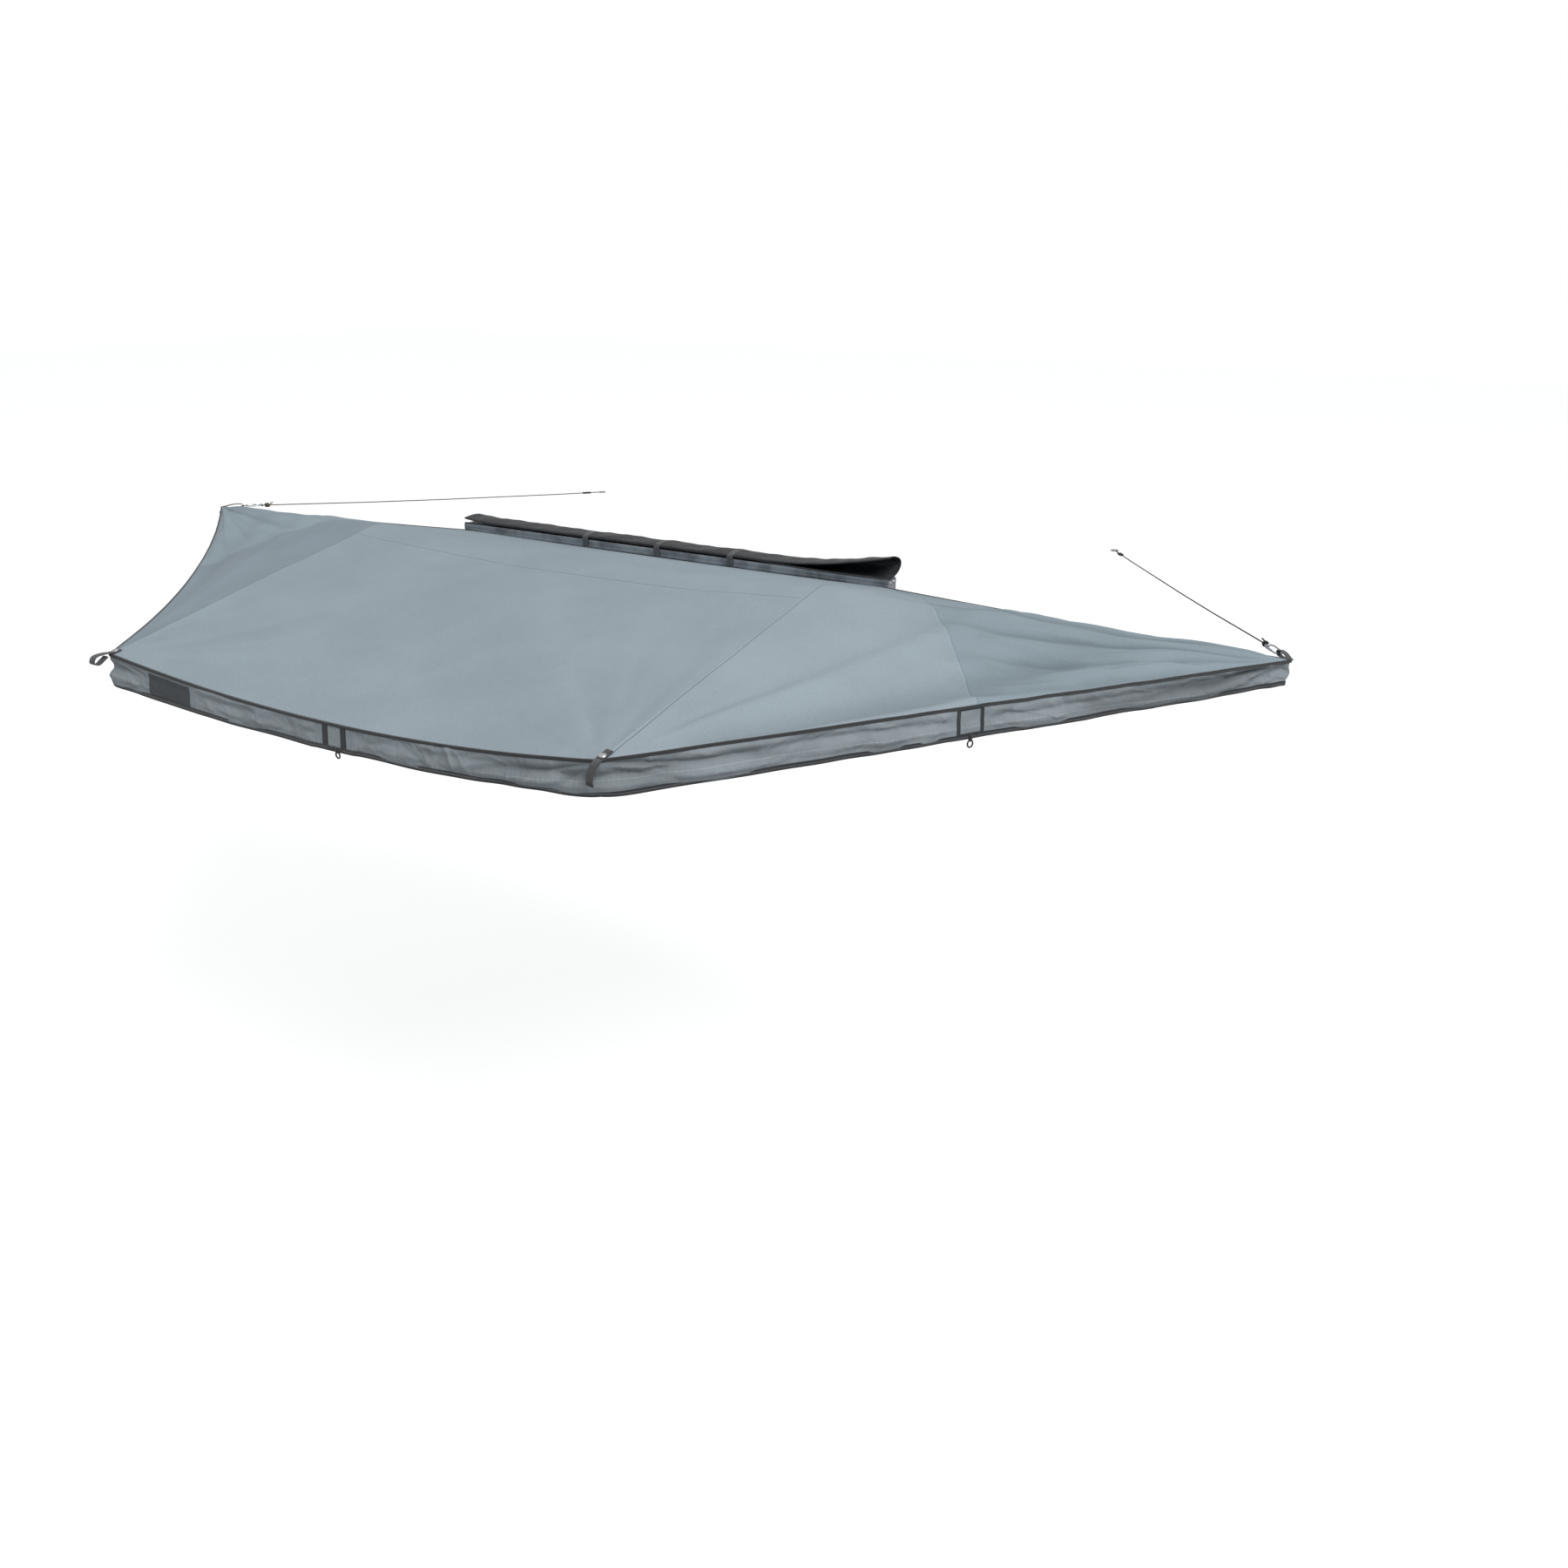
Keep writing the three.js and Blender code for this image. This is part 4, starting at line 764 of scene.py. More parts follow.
canvas_tint = (0.304, 0.364, 0.402)
# The wings' tints, near the rafter and beyond the across seam, are the canvas tint made lighter in some zones
# and darker in others: painted light and shade.
wing_lighting_tints = {
    "rear": ((0.31, 0.382, 0.424), (0.27, 0.327, 0.37)),
    "front": ((0.263, 0.321, 0.357), (0.302, 0.358, 0.394)),
}
strip_y, ridge = -0.682, (0.941, -0.5703)
patches = {
    ("rear", "wing"): [((-0.925, -1.43), (-0.985, -1.395)), ((-0.95, -1.3), (-0.905, -1.25))],
    ("front", "wing"): [((0.985, -1.5), (1.03, -1.545)), ((0.962, -1.44), (0.995, -1.52))],
    ("rear", "centre"): [],
    ("front", "centre"): [
        ((0.79, -1.468), (0.912, -1.448)), ((0.79, -1.468), (0.765, -1.56)),
        ((0.845, -1.33), (0.915, -1.318)),
    ],
}
flat_sizes = {"centre": (0.955, 1.76), "wing": (2.18, 1.2)}
cloth_grids, cloth_tops, looks = {}, {}, {}
for side, sign in side_signs.items():

    def seam_between(*ends):
        """The seam on this side, with its stitched edge turned as on the other."""
        return [(sign * x, y) for x, y in ends][::sign]

    tip_x, tip_y, _ = tip_corners[side]
    across = seam_between((1.298, -0.495), (1.6, -0.894))
    seams = {
        "wing": [
            (across[::sign], 0.01, 0.5, 0.3), (seam_between((0.945, -0.06), ridge), 0.008, 0.14, 0.6),
            (seam_between(ridge, (tip_x + 0.005, tip_y)), 0.008, 0.14, 0.6),
        ],
        "centre": [(seam_between((0.0, strip_y), (0.94, strip_y)), 0.008, 0.45, 0.7)],
    }
    near_lighting_tint, beyond_lighting_tint = wing_lighting_tints[side]
    zoned = [(across[::-1], beyond_lighting_tint)]
    for part, tint, zones in (("wing", near_lighting_tint, zoned), ("centre", canvas_tint, [])):
        lines = seams[part] + [(patch, 0.004, 0.3, 0.0) for patch in patches[side, part]]
        looks[side, part] = canopy_finish(f"{side}_{part}_polycotton", tint, lines, zones)
for side, sign in side_signs.items():
    for part, size in flat_sizes.items():
        grid, flat, hollow = section_cloth(side, sign, part)
        flip = (sign > 0) != (part == "wing")
        name, look = f"{side}_{part}_cloth", looks[side, part]
        top = cloth_piece(name, grid, flat, look, flip, cloth_thickness, hollow, rounded=True)
        cloth_grids[side, part], cloth_tops[side, part] = grid, top
        follow_cloth(top, side, part)
        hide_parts(f"{side}_{part}_canopy")
        grid_area(grid)


# A skirt of the same cloth hangs from the outer edges. Black piping is sewn along its top, a black binding
# with a grey line along its foot, and a line of light stitches runs across it. The rail side of each wing is
# bound in black.
def level_out(edge):
    """The level way out of the canopy at each point of its edge."""
    way = np.gradient(edge, axis=0)
    way = way / norm(way, axis=1)[:, None]
    out = np.stack([way[:, 1], -way[:, 0], np.zeros(len(edge))], 1)
    out = out / norm(out, axis=1)[:, None]
    out[out[:, 1] > 0] *= -1
    return out


def at_runs(line, run, places):
    """The line's points at the given places along it."""
    return np.stack([np.interp(places, run, line[:, k]) for k in range(3)], 1)


def eased(line, spread, steps=40):
    """A line drawn tighter round its corner, as the hem is."""
    kernel = exp(-0.5 * (np.arange(-steps, steps + 1) / max(spread, 1e-6)) ** 2)
    kernel /= kernel.sum()
    padded = np.vstack([2 * line[0] - line[steps:0:-1], line, 2 * line[-1] - line[-2 : -steps - 2 : -1]])
    return np.stack([np.convolve(padded[:, k], kernel, "valid") for k in range(3)], 1)


def crinkles(run, depth, rng, count, length):
    """Sharp little creases at odd angles, as stiff coated cotton takes."""
    height = np.zeros_like(depth)
    for _ in range(count):
        s0, d0 = rng.uniform(0, length), rng.uniform(0.0, 0.085)
        angle = rng.choice([rng.normal(0.15, 0.25), rng.normal(2.6, 0.4), rng.normal(1.1, 0.4)])
        long_half, wide = rng.uniform(0.03, 0.11), rng.uniform(0.005, 0.012)
        a = (run - s0) * cos(angle) + (depth - d0) * sin(angle)
        c = -(run - s0) * sin(angle) + (depth - d0) * cos(angle)
        height += rng.uniform(-1, 1) * 0.0042 * bell(a / long_half) * exp(-np.abs(c) / wide)
    return height


# Pulls from the near side of the tip's corner, its far side and the wing tip: slope, height and reach.
near_pulls = ((0.1, -0.01, 0.44), (0.22, 0.008, 0.3), (0.42, -0.007, 0.18))
far_pulls = ((0.08, -0.01, 0.6), (0.17, 0.0085, 0.4), (0.34, -0.007, 0.22))
end_pulls = ((0.075, -0.012, 0.7), (0.15, 0.0095, 0.45), (0.25, -0.01, 0.32), (0.48, 0.008, 0.16))
# How dark the painted shade is in the hollows of the skirt's pulls, and the most it may be.
skirt_shade, most_shade = 46, 0.6


def corner_pulls(run, depth, corner_at, length):
    """Long folds that run from the tips down across the skirt, as the cloth is drawn by its corners, and the
    painted shade in their hollows, with broad painted shade before the wing tip and past the tip's corner."""
    height, hollow = np.zeros_like(depth), np.zeros_like(depth)
    for at, way, fan in ((corner_at, -1, near_pulls), (corner_at, 1, far_pulls), (length, -1, end_pulls)):
        away = (run - at) * way
        beyond = np.clip(away, 0, None)
        for slope, lift, reach in fan:
            centre = 0.012 + slope * beyond + 0.004 * sin(away * 21 + slope * 40)
            fade = exp(-beyond / reach) * ramp(away / 0.12)
            band = fade * exp(-np.abs((depth - centre) / (0.0055 + 0.016 * beyond)) ** 1.4)
            height += lift * band
            hollow += max(0.0, -lift) * skirt_shade * band
    # Broad painted shade on the skirt before the wing tip and just past the tip's corner.
    hollow += 0.25 * bell((length - run - 0.32) / 0.3)
    hollow += 0.2 * bell((run - corner_at - 0.08) / 0.13)
    return height, np.clip(hollow, 0, most_shade)


skirt_rows, skirt_step = 30, 0.005


def skirt_grid(line, corner_at, stiff, corner_round, seed):
    """The skirt of one side, from the middle of the front round the tip's corner to the wing tip. It lies
    flat under what is sewn to it: stiff lists the places and half lengths."""
    rng = np.random.default_rng(seed)
    run = run_of(line)
    places = np.linspace(0, run[-1], int(round(run[-1] / skirt_step)) + 1)
    line, run = at_runs(line, run, places), places
    length = run[-1]
    out = eased(level_out(eased(line, 4)), 12)
    out /= norm(out, axis=1)[:, None]
    to_tip = 0.098 - 0.025 * ramp((run - corner_at) / 2.0) ** 2
    heights = np.where(run < corner_at, 0.078 + 0.02 * ramp(run / corner_at) ** 2, to_tip)
    depths = np.linspace(0, 1, skirt_rows + 1)
    fall = depths[:, None] * heights[None, :]
    rough = crinkles(run, fall, rng, int(length * 110), length)
    pulled_by_corners, hollow = corner_pulls(run, fall, corner_at, length)
    rough += pulled_by_corners
    pulled = bell((run - corner_at) / 0.55) + 0.8 * ramp((run - corner_at) / 0.6)
    pulled = ramp(pulled)
    ends = ramp(run / 0.05) * ramp((length - run) / 0.02)
    for place, half in stiff:
        ends = ends * (1 - 0.85 * ramp((half * 1.5 - np.abs(run - place)) / (half * 0.5)))
    grid = np.zeros((skirt_rows + 1, len(run), 3))
    for i, depth in enumerate(depths):
        tucked = (0.012 * depth + 0.004 * sin(9 * depth)) * ramp((run - length + 0.14) / 0.14) ** 2
        hem = at_runs(eased(line, corner_round * depth), run, run - tucked)
        sway = 0.0048 * sin(run * 13 + seed + 1.2 * sin(3 * depth))
        sway += 0.003 * sin(run * 31 + 2.1 * seed + 2.0 * sin(run * 6 + depth * 2))
        sway *= sin(depth * pi / 2) * (1 - 0.5 * depth**4)
        long_fold = bell((depth - 0.4 - 0.06 * sin(run * 5 + seed)) / 0.15)
        second_fold = bell((depth - 0.7 - 0.05 * sin(run * 4 + 1 + seed)) / 0.1)
        folds = (-0.0115 * long_fold + 0.005 * second_fold) * pulled
        belly = 0.005 * sin(pi * depth) * (0.6 + 0.4 * sin(run * 9 + seed))
        skin = rough[i] * min(1.0, 6 * depth) * min(1.0, max(0.0, (0.87 - depth) / 0.12))
        pressed = 0.009 * bell((length - 0.058 - run) / 0.028)
        pressed = pressed * min(1.0, depth / 0.18) * (1 - 0.4 * depth)
        grid[i] = hem + out * (0.0085 * depth + (sway + folds + belly + skin) * ends + pressed)[:, None]
        grid[i, :, 2] = line[:, 2] - fall[i] + 0.0007 + 0.0008 * sin(run * 11 + 2 * seed) * depth * ends
    flat = np.stack([np.broadcast_to(run, fall.shape), -fall], 2)
    return grid, flat, hollow, run, out


def skirt_finish(name, tint, foot):
    """The same polycotton, worn, with a line of light stitches at the foot's height."""
    cloth = {"Sheen_Weight": 0.06, "Sheen_Roughness": 0.5, "Specular_IOR_Level": 0.15}
    finish, tree, surface = new_finish(name, tint, 0.88, **cloth)
    uv = cloth_map(tree)
    x, y, _ = uv.axes()
    threads = uv.through(weave)
    worn = uv.noise(7.0, 6.0, Roughness=0.65).remap(0.34, 0.66, 0.0, 1.0)
    color = worn.blend(tuple(c * 0.9 for c in tint), tuple(c * 1.09 for c in tint))
    line = (y + foot).calc("ABSOLUTE")
    stitch = (line < 0.0011) * (x.wave(900.0) > -0.35) * 0.6
    pucker = line.remap(0.0, 0.012, 1.0, 0.0) * x.wave(420.0)
    height = uv.noise(22.0, 7.0, Roughness=0.6, Distortion=0.8) * 0.0055
    height = height + pucker * 0.0004 + threads["Height"] * 0.00008
    feed(surface, {
        "Base Color": fold_shaded(tree, stitch.blend(color, (0.44, 0.47, 0.48))), "Normal": height.bump(1.0, 0.9),
        "Roughness": threads["Slub"].remap(0.2, 0.8, 0.82, 0.95),
    })
    return finish


def webbing_finish(name, dark, light, rib=0.0016):
    """Woven nylon: ribs across the strap, on the piece's own pattern map."""
    finish, tree, surface = new_finish(name, light, 0.62, Sheen_Weight=0.25, Sheen_Roughness=0.4)
    uv = cloth_map(tree)
    x, y, _ = uv.axes()
    ribs = ((y + x.calc("PINGPONG", 0.005)) / rib).wave(pi).calc("ABSOLUTE")
    dirt = uv.noise(55.0, 5.0)
    feed(surface, {
        "Base Color": (ribs * dirt.remap(0.3, 0.7, 0.55, 1.0)).blend(dark, light),
        "Normal": ribs.bump(0.0005, 0.9), "Roughness": dirt.remap(0.3, 0.7, 0.55, 0.75),
    })
    return finish


def outward(piece):
    """Turns every face of a closed piece to point out."""
    bpy.context.view_layer.objects.active = piece
    bpy.ops.object.select_all(action="DESELECT")
    piece.select_set(True)
    bpy.ops.object.mode_set(mode="EDIT")
    bpy.ops.mesh.select_all(action="SELECT")
    bpy.ops.mesh.normals_make_consistent(inside=False)
    bpy.ops.object.mode_set(mode="OBJECT")
    return piece


def binding_strip(name, path, out, half_height, half_thick, finish):
    """A folded tape: a flat closed loop section carried along the cloth's edge."""
    section = [(-1, -1), (-0.4, -1.25), (0.4, -1.25), (1, -1), (1, 1), (0.4, 1.25), (-0.4, 1.25), (-1, 1)]
    rings = [
        [centre + upward * (up * half_height) + away * side_way * half_thick for up, side_way in section]
        for centre, away in zip(path, out)
    ]
    uv = [[(j * half_height / 2, run) for j in range(len(section))] for run in run_of(path)]
    return outward(loft(name, rings, uv, finish))


binding_black = webbing_finish("binding_black", (0.01, 0.011, 0.013), (0.028, 0.03, 0.035), 0.0012)
binding_grey = webbing_finish("binding_grey", (0.05, 0.054, 0.06), (0.105, 0.112, 0.12), 0.0012)
skirt_look = skirt_finish("skirt_polycotton", (0.262, 0.296, 0.32), 0.058)
join_x, skirt_width, skirt_thickness = 1.582, 0.106, 0.0014
skirts = {}
for side, sign in side_signs.items():
    centre_edge = cloth_grids[side, "centre"][-1][::-1].copy()
    centre_edge[0, 0] = 0.0
    wing_edge = cloth_grids[side, "wing"][-1]
    corner_at = float(run_of(centre_edge)[-1])
    join_run = corner_at + float(np.interp(join_x, wing_edge[:, 0], run_of(wing_edge)))
    sewn_on = (join_run, 0.055) if sign > 0 else (corner_at - 0.236, 0.095)
    corner_round, seed = (8.0, 3) if sign > 0 else (3.0, 8)
    whole_edge = np.vstack([centre_edge, wing_edge[1:]])
    whole = skirt_grid(whole_edge, corner_at, [(0.034, 0.035), sewn_on], corner_round, seed)
    split = int(np.argmin(np.abs(whole[3] - corner_at)))
    for part, cut in (("centre", slice(0, split + 1)), ("wing", slice(split, None))):
        grid, flat, dust_and_fold_shade = (layer[:, cut] for layer in whole[:3])
        run, out = (layer[cut] for layer in whole[3:])
        skirts[side, part] = (grid, run - run[0], out)
        # The painted shade of the skirt's fold hollows, at three tenths of its strength on the rear side.
        dust_and_fold_shade = dust_and_fold_shade * (1.0 if sign > 0 else 0.3)
        skirt = cloth_piece(f"{side}_{part}_skirt", grid, flat, skirt_look, sign < 0, skirt_thickness, dust_and_fold_shade)
        top_line = grid[0] + out * 0.0012 - upward * 0.0016
        foot_line = grid[-1] + upward * 0.006
        trims = [
            binding_strip(f"{side}_{part}_piping", top_line, out, 0.0043, 0.0028, binding_black),
            binding_strip(f"{side}_{part}_foot_binding", foot_line, out, 0.0074, 0.0018, binding_black),
            binding_strip(f"{side}_{part}_foot_line", foot_line, out, 0.0019, 0.0025, binding_grey),
        ]
        follow_cloth(skirt, side, part)
        for piece in trims:
            follow_cloth(piece, side, part)
        size = (float(run[-1] - run[0]), skirt_width)
        grid_area(grid)
    rail_side = cloth_grids[side, "wing"][0]
    keep = np.concatenate([[True], np.diff(run_of(rail_side)) > 0.0008])
    rail_side = rail_side[keep] + upward * 0.0004
    name = f"{side}_wing_rail_binding"
    inner_binding = binding_strip(name, rail_side, -level_out(rail_side), 0.0034, 0.0042, binding_black)
    follow_cloth(inner_binding, side, "wing")


# The skirt's joins are covered by black webbing: two upright bars in the middle of the front, and a black
# frame on the front wing. A ring hangs from each. A plain patch is sewn on near the rear tip.
def on_skirt(side, part, at, depth, lift):
    """A point on the skirt, some way along its edge and down it, lifted off its face."""
    grid, length, out = skirts[side, part]
    column = float(np.interp(at, length, np.arange(len(length))))
    row = depth * (grid.shape[0] - 1)
    i, j = min(int(row), grid.shape[0] - 2), min(int(column), grid.shape[1] - 2)
    a, b = row - i, column - j
    point = grid[i, j] * (1 - a) * (1 - b) + grid[i + 1, j] * a * (1 - b)
    point = point + grid[i, j + 1] * (1 - a) * b + grid[i + 1, j + 1] * a * b
    return point + (out[j] * (1 - b) + out[j + 1] * b) * lift


def patch_on_skirt(name, side, part, corners, finish, lift=0.001, columns=10, rows=16, thick=0.0014):
    """A closed tape or patch that lies on the skirt between (along, depth) corners."""
    (a0, d0), (a1, d1) = corners
    points, uv = [], []
    for level in (lift + thick, lift):
        for i in range(rows + 1):
            for j in range(columns + 1):
                at, depth = a0 + (a1 - a0) * j / columns, d0 + (d1 - d0) * i / rows
                points.append(on_skirt(side, part, at, depth, level))
                uv.append((at, depth * 0.09))
    n, size = columns + 1, (columns + 1) * (rows + 1)
    faces = []
    for a in (i * n + j for i in range(rows) for j in range(columns)):
        b = a + size
        faces += [(a, a + 1, a + n + 1, a + n), (b, b + n, b + n + 1, b + 1)]
    edges = [(j, 1) for j in range(columns)] + [(rows * n + j, 1) for j in range(columns)]
    edges += [(i * n, n) for i in range(rows)] + [(i * n + columns, n) for i in range(rows)]
    faces += [(a, a + step, a + step + size, a + size) for a, step in edges]
    piece = outward(new_piece(name, points, faces, uv, finish))
    follow_cloth(piece, side, part)


for side in side_signs:
    for name, corners, lift, columns, rows in (
        ("middle_bar", ((0.024, 0.02), (0.044, 0.97)), 0.001, 4, 16),
        ("middle_foot", ((0.0002, 0.88), (0.03, 1.0)), 0.0034, 5, 3),
    ):
        name = f"{side}_{name}"
        patch_on_skirt(name, side, "centre", corners, binding_black, lift, columns, rows)
join_at = float(np.interp(join_x, skirts["front", "wing"][0][0][:, 0], skirts["front", "wing"][1]))
for label, start, end, high, low in (
    ("left", -0.042, -0.031, 0.03, 0.93), ("right", 0.031, 0.042, 0.03, 0.93),
    ("foot", -0.031, 0.031, 0.82, 0.93), ("head", -0.031, 0.031, 0.03, 0.1),
):
    corners = ((join_at + start, high), (join_at + end, low))
    patch_on_skirt(f"front_join_{label}", "front", "wing", corners, binding_black, 0.001, 12, 14)
patch_look = skirt_finish("patch_cloth", (0.08, 0.086, 0.092), 0.9)
rear_tip_at = skirts["rear", "centre"][1][-1]
corners = ((rear_tip_at - 0.318, 0.14), (rear_tip_at - 0.155, 0.84))
patch_on_skirt("rear_plain_patch", "rear", "centre", corners, patch_look, 0.0014, 40, 24)

ring_wire, ring_steps = 0.0024, 40
for name, side, part, at, tab_drop, ring_half in (
    ("middle", "front", "centre", 0.012, 0.003, 0.0092), ("join", "front", "wing", join_at, 0.008, 0.0105),
):
    foot_point = on_skirt(side, part, at, 1.0, 0.003)
    ahead = unit(on_skirt(side, part, at + 0.01, 1.0, 0.003) - foot_point)
    tab_path = [foot_point + upward * z for z in (0.012, 0.006, 0.001 - tab_drop / 2, -tab_drop)]
    tab = tube_along(f"{name}_pull_tab", tab_path, [0.005, 0.0062, 0.006, 0.004], 12, binding_black)
    centre = foot_point - upward * (tab_drop + ring_half - 0.003)
    turns = np.linspace(0, 2 * pi, ring_steps, endpoint=False)
    ring_path = [centre + (ahead * 0.78 * cos(t) + upward * sin(t)) * ring_half for t in turns]
    pull = tube_along(f"{name}_pull_ring", ring_path, ring_wire, 10, coat_finish, closed=True)
    follow_cloth(tab, side, part)
    follow_cloth(pull, side, part)


# Webbing is sewn round every rafter tip: a tab over the front tip, an open loop at the rear one, and a loop
# at each wing tip for the cord's hook. A chrome stud, the end of the rafter's pin, stands through it.
def strap_along(name, path, across, width, thickness, finish, body=None):
    """A flat strap with its width along one level way, and its pattern laid along it."""
    path = np.asarray(path, float)
    half = [(-0.5, -0.3), (-0.46, -0.5), (0.46, -0.5), (0.5, -0.3)]
    section = half + [(-a, -b) for a, b in half]
    rings = []
    for point, ahead in zip(path, np.gradient(path, axis=0)):
        normal = unit(np.cross(unit(ahead), across))
        rings.append([point + across * a * width + normal * b * thickness for a, b in section])
    uv = [[(a * width, run) for a, _ in section] for run in run_of(path)]
    strap = outward(loft(name, rings, uv, finish))
    if body:
        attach(strap, body)
    return strap


webbing_look = webbing_finish("strap_webbing", (0.022, 0.023, 0.026), (0.1, 0.104, 0.11))
loop_width, strap_thickness, lift, climb, stud_back = 0.025, 0.0022, 0.0016, 0.16, 0.018
tip_paths = {
    "front": [
        (-0.05, lift + climb * 0.05), (-0.01, lift + climb * 0.01), (0.0065, lift - 0.0008),
        (0.0158, -0.0085), (0.0215, -0.026), (0.024, -0.045), (0.0215, -0.063),
    ],
    "rear": [
        (-0.0325, lift + climb * 0.0325), (-0.01, lift + climb * 0.01), (0.02, 0.0075), (0.0525, 0.005),
        (0.0625, -0.0125), (0.0475, -0.02), (0.0275, -0.01), (0.015, -0.0022),
    ],
}
cord_reach = 0.093
cord_path = [
    (0.0, 0.0016 / cord_reach), (0.15, 0.0032 / cord_reach), (0.55, 0.1), (0.9, 0.08), (1, 0),
    (0.9, -0.089), (0.5, -0.07), (0.12, -0.05),
]
stud_profile = [
    (0.01, 0.0), (0.0104, 0.0008), (0.01, 0.002), (0.0086, 0.0034), (0.0062, 0.0042), (0.003, 0.0045),
]
stud_mesh = lathe_mesh("stud", stud_profile, 32)
chrome_finish = metal_finish(
    "bright_stud", (0.78, 0.79, 0.8), (0.66, 0.67, 0.68), 0.16, 160.0, 0.00005
)
for side, sign in side_signs.items():
    rafter = f"{side}_inner_rafter"
    corner = tip_corners[side] * (sign, 1, 1)
    path = curve_through([(corner[0], corner[1] - a, corner[2] + z) for a, z in tip_paths[side]], 8)
    across = np.array((1.0, 0, 0))
    if side == "front":
        fall = ramp(corner[2] - path[:, 2])
        path[:, 0] -= 0.42 * fall - 3.2 * fall**2
        across = unit((1.0, -0.22, 0))
    strap = strap_along(f"{side}_tip_strap", path, across, loop_width, strap_thickness, webbing_look, rafter)
    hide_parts(f"{side}_tip_loop")
    patch_path = path[:11] + np.array((0, -0.0002, 0.0014))
    strap_along(f"{side}_tip_patch", patch_path, across, loop_width * 1.02, 0.001, binding_black, rafter)
    if side == "front":
        hem_path = path[-5:] + np.array((0, -0.0004, -0.0004))
        strap_along("front_tip_hem", hem_path, across, loop_width * 1.03, 0.0036, binding_black, rafter)
    seat = corner + np.array((0, stud_back, climb * stud_back + 0.0036))
    stud = repeated(f"{side}_tip_stud", [seat], [unit((0, -climb, 1))], stud_mesh, chrome_finish)
    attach(stud, rafter)
    wing_tip = wing_corner * (sign, 1, 1)
    way = unit(np.subtract(front_route[-1], front_route[0]) * (sign, 1, 0))
    path = curve_through([wing_tip + way * a * cord_reach + upward * z * cord_reach for a, z in cord_path], 8)
    across = np.cross(way, upward)
    strap = strap_along(f"{side}_wing_strap", path, across, 0.016, strap_thickness, webbing_look)
    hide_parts(f"{side}_wing_loop")
    anchor = (wing_tip[0], wing_tip[1], -0.037)
    rides_and_shrinks(strap, f"{side}_outer_rafter", (0, 0, 1), anchor, 0.3)


# The cover is a sleeve of black coated cloth that the folded awning stows in. Here it lies open on the rail,
# flattened along the middle and agape at the front end, with a zip along its lips. Three webbing straps tie
# it down.
cover_start, cover_end, cover_deep, cover_front, rail_top = -0.945, 0.962, 0.1, 0.056, 0.0203
front_mouth, rear_mouth = 0.54, 0.16


def cover_section(x):
    """The sleeve's half height, half depth and middle at x, and how far its cloth spreads either way."""
    from_end = ramp(1 - (cover_end - x) / front_mouth)
    from_start = ramp(1 - (x - cover_start) / rear_mouth)
    agape = np.maximum(from_end, from_start * 0.4)
    half_height = (0.018 + 0.06 * from_end**2 + 0.012 * from_start**2) / 2
    middle = cover_deep * (1 - agape) / 2 - cover_front
    return half_height, cover_deep * (1 + agape) / 2, middle, radians(165 - 75 * agape)


def cover_point(x, angle, outside):
    half_height, half_depth, middle, _ = cover_section(x)
    y = middle + (half_depth + outside) * cos(angle)
    z = rail_top + half_height + (half_height + outside) * sin(angle)
    return np.stack(np.broadcast_arrays(x, y, z), -1)


across_lips, along_cover = np.linspace(-1, 1, 41), np.linspace(cover_start, cover_end, 151)
x, share = np.meshgrid(along_cover, across_lips)
half_height, half_depth, _, spread = cover_section(x)
angle = share * spread
ripple = 0.0026 * sin(x * 17 + 2.1 * sin(x * 5) + share * 2) + 0.0016 * sin(x * 41 + share * 6.1)
ripple = ripple + 0.0011 * sin(x * 83 - share * 4 + 1) - 0.002
ripple = ripple * (0.625 + 0.375 * sin(angle)) * (1 - 0.75 * np.abs(share) ** 6)
cover_grid = cover_point(x, angle, ripple)
cover_flat = np.stack([x, angle * (half_height + half_depth) / 2], 2)

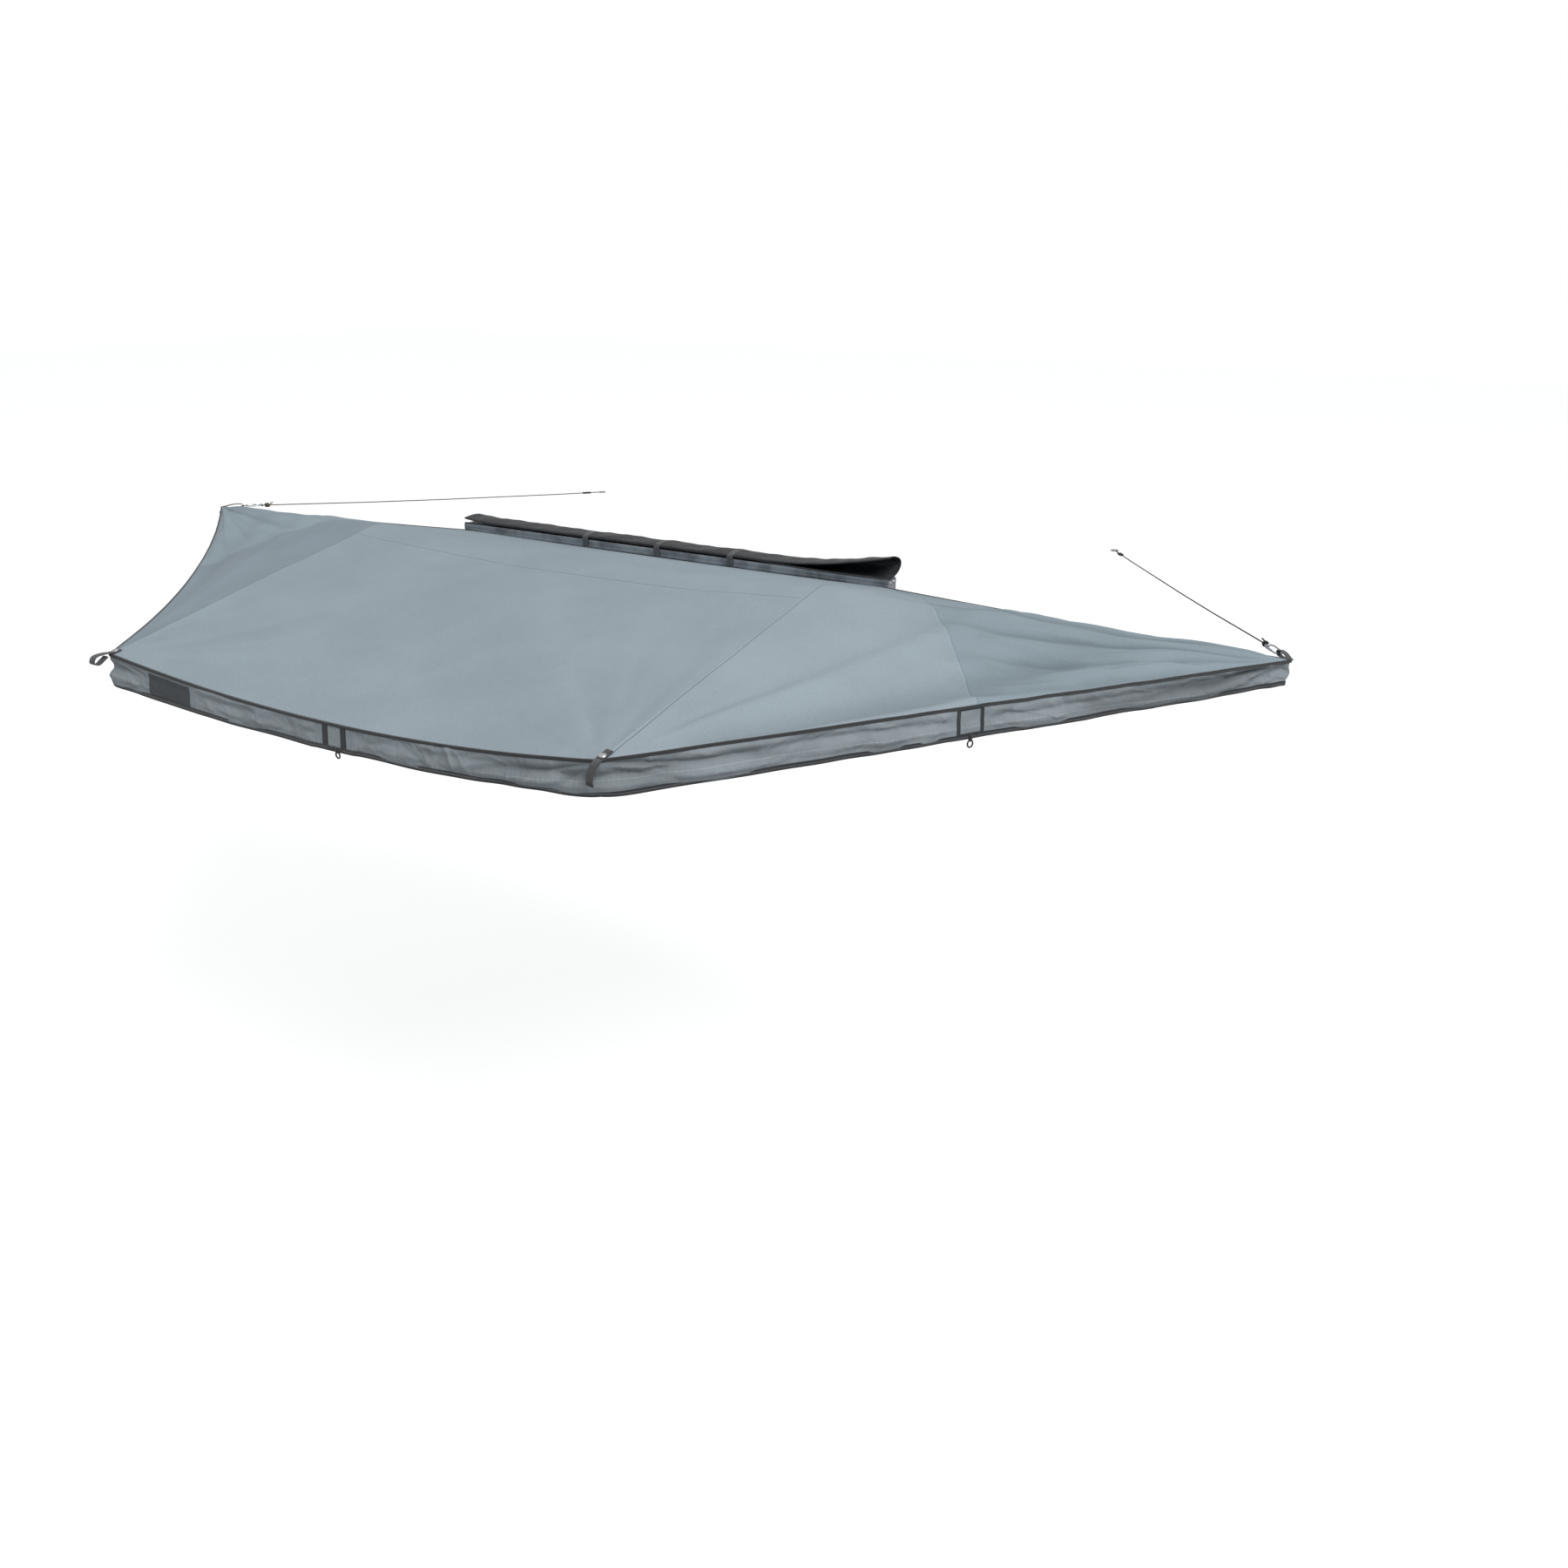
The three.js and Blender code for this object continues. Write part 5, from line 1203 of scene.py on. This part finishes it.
cover_look, tree, surface = new_finish(
    "cover_coated_cloth", (0.03, 0.032, 0.036), 0.46, Specular_IOR_Level=0.5
)
uv = cloth_map(tree)
threads = uv.through(weave, Thread=0.0019)
dust_and_fold_shade = uv.noise(11.0, 8.0, Roughness=0.7)
height = uv.noise(19.0, 6.0, Distortion=1.2) * 0.009 + threads["Height"] * 0.00012
feed(surface, {
    "Base Color": dust_and_fold_shade.remap(0.42, 0.75, 0.0, 1.0).blend((0.022, 0.024, 0.027), (0.052, 0.054, 0.058)),
    "Roughness": dust_and_fold_shade.remap(0.3, 0.75, 0.36, 0.6), "Normal": height.bump(1.0, 0.8),
})
cover = cloth_piece("cover_sleeve", cover_grid, cover_flat, cover_look, False, 0.0022)
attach(cover, "rail_assembly")
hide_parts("cover")
tooth_pitch, tooth_profile = 0.006, [(0.0011, 0.0), (0.0013, 0.0008), (0.0011, 0.0019)]
for label, row, lip_lift, teeth_lift in (("lower", 0, 0.0012, 0.0022), ("upper", -1, -0.0012, -0.0006)):
    lip = cover_grid[row] + upward * lip_lift
    binding = tube_along(f"cover_{label}_binding", lip, 0.0026, 8, binding_black)
    teeth_line = cover_grid[row] + np.array((0, -0.0042, teeth_lift))
    run = run_of(teeth_line)
    places = at_runs(teeth_line, run, np.arange(0.004, run[-1] - 0.004, tooth_pitch))
    tooth = lathe_mesh(f"zip_tooth_{label}", tooth_profile, 8)
    facings = [(0, -1, 0)] * len(places)
    teeth = repeated(f"cover_{label}_zip_teeth", places, facings, tooth, plastic_finish)
    for piece, slot in ((binding, "webbing"), (teeth, "plastic")):
        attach(piece, "rail_assembly")
grid_area(cover_grid)
tie_down = ((-0.0588, 0.0326), (-0.0624, 0.0236), (-0.0624, 0.02), (-0.0624, 0.00667), (-0.0624, -0.007))
for index, x in enumerate((-0.343, -0.008, 0.318)):
    over = [cover_point(x, radians(angle), 0.0016) for angle in (75, 95, 115, 135, 150, 163)]
    path = curve_through([*over, *((x, y, z) for y, z in tie_down)], 6)
    name = f"cover_strap_web_{index + 1}"
    strap = strap_along(name, path, np.array((1.0, 0, 0)), 0.026, 0.0018, webbing_look, "rail_assembly")
    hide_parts(f"cover_strap_{index + 1}")


low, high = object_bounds()
{"cad": [list(cad_low), list(cad_high)], "scene": [list(low), list(high)]}
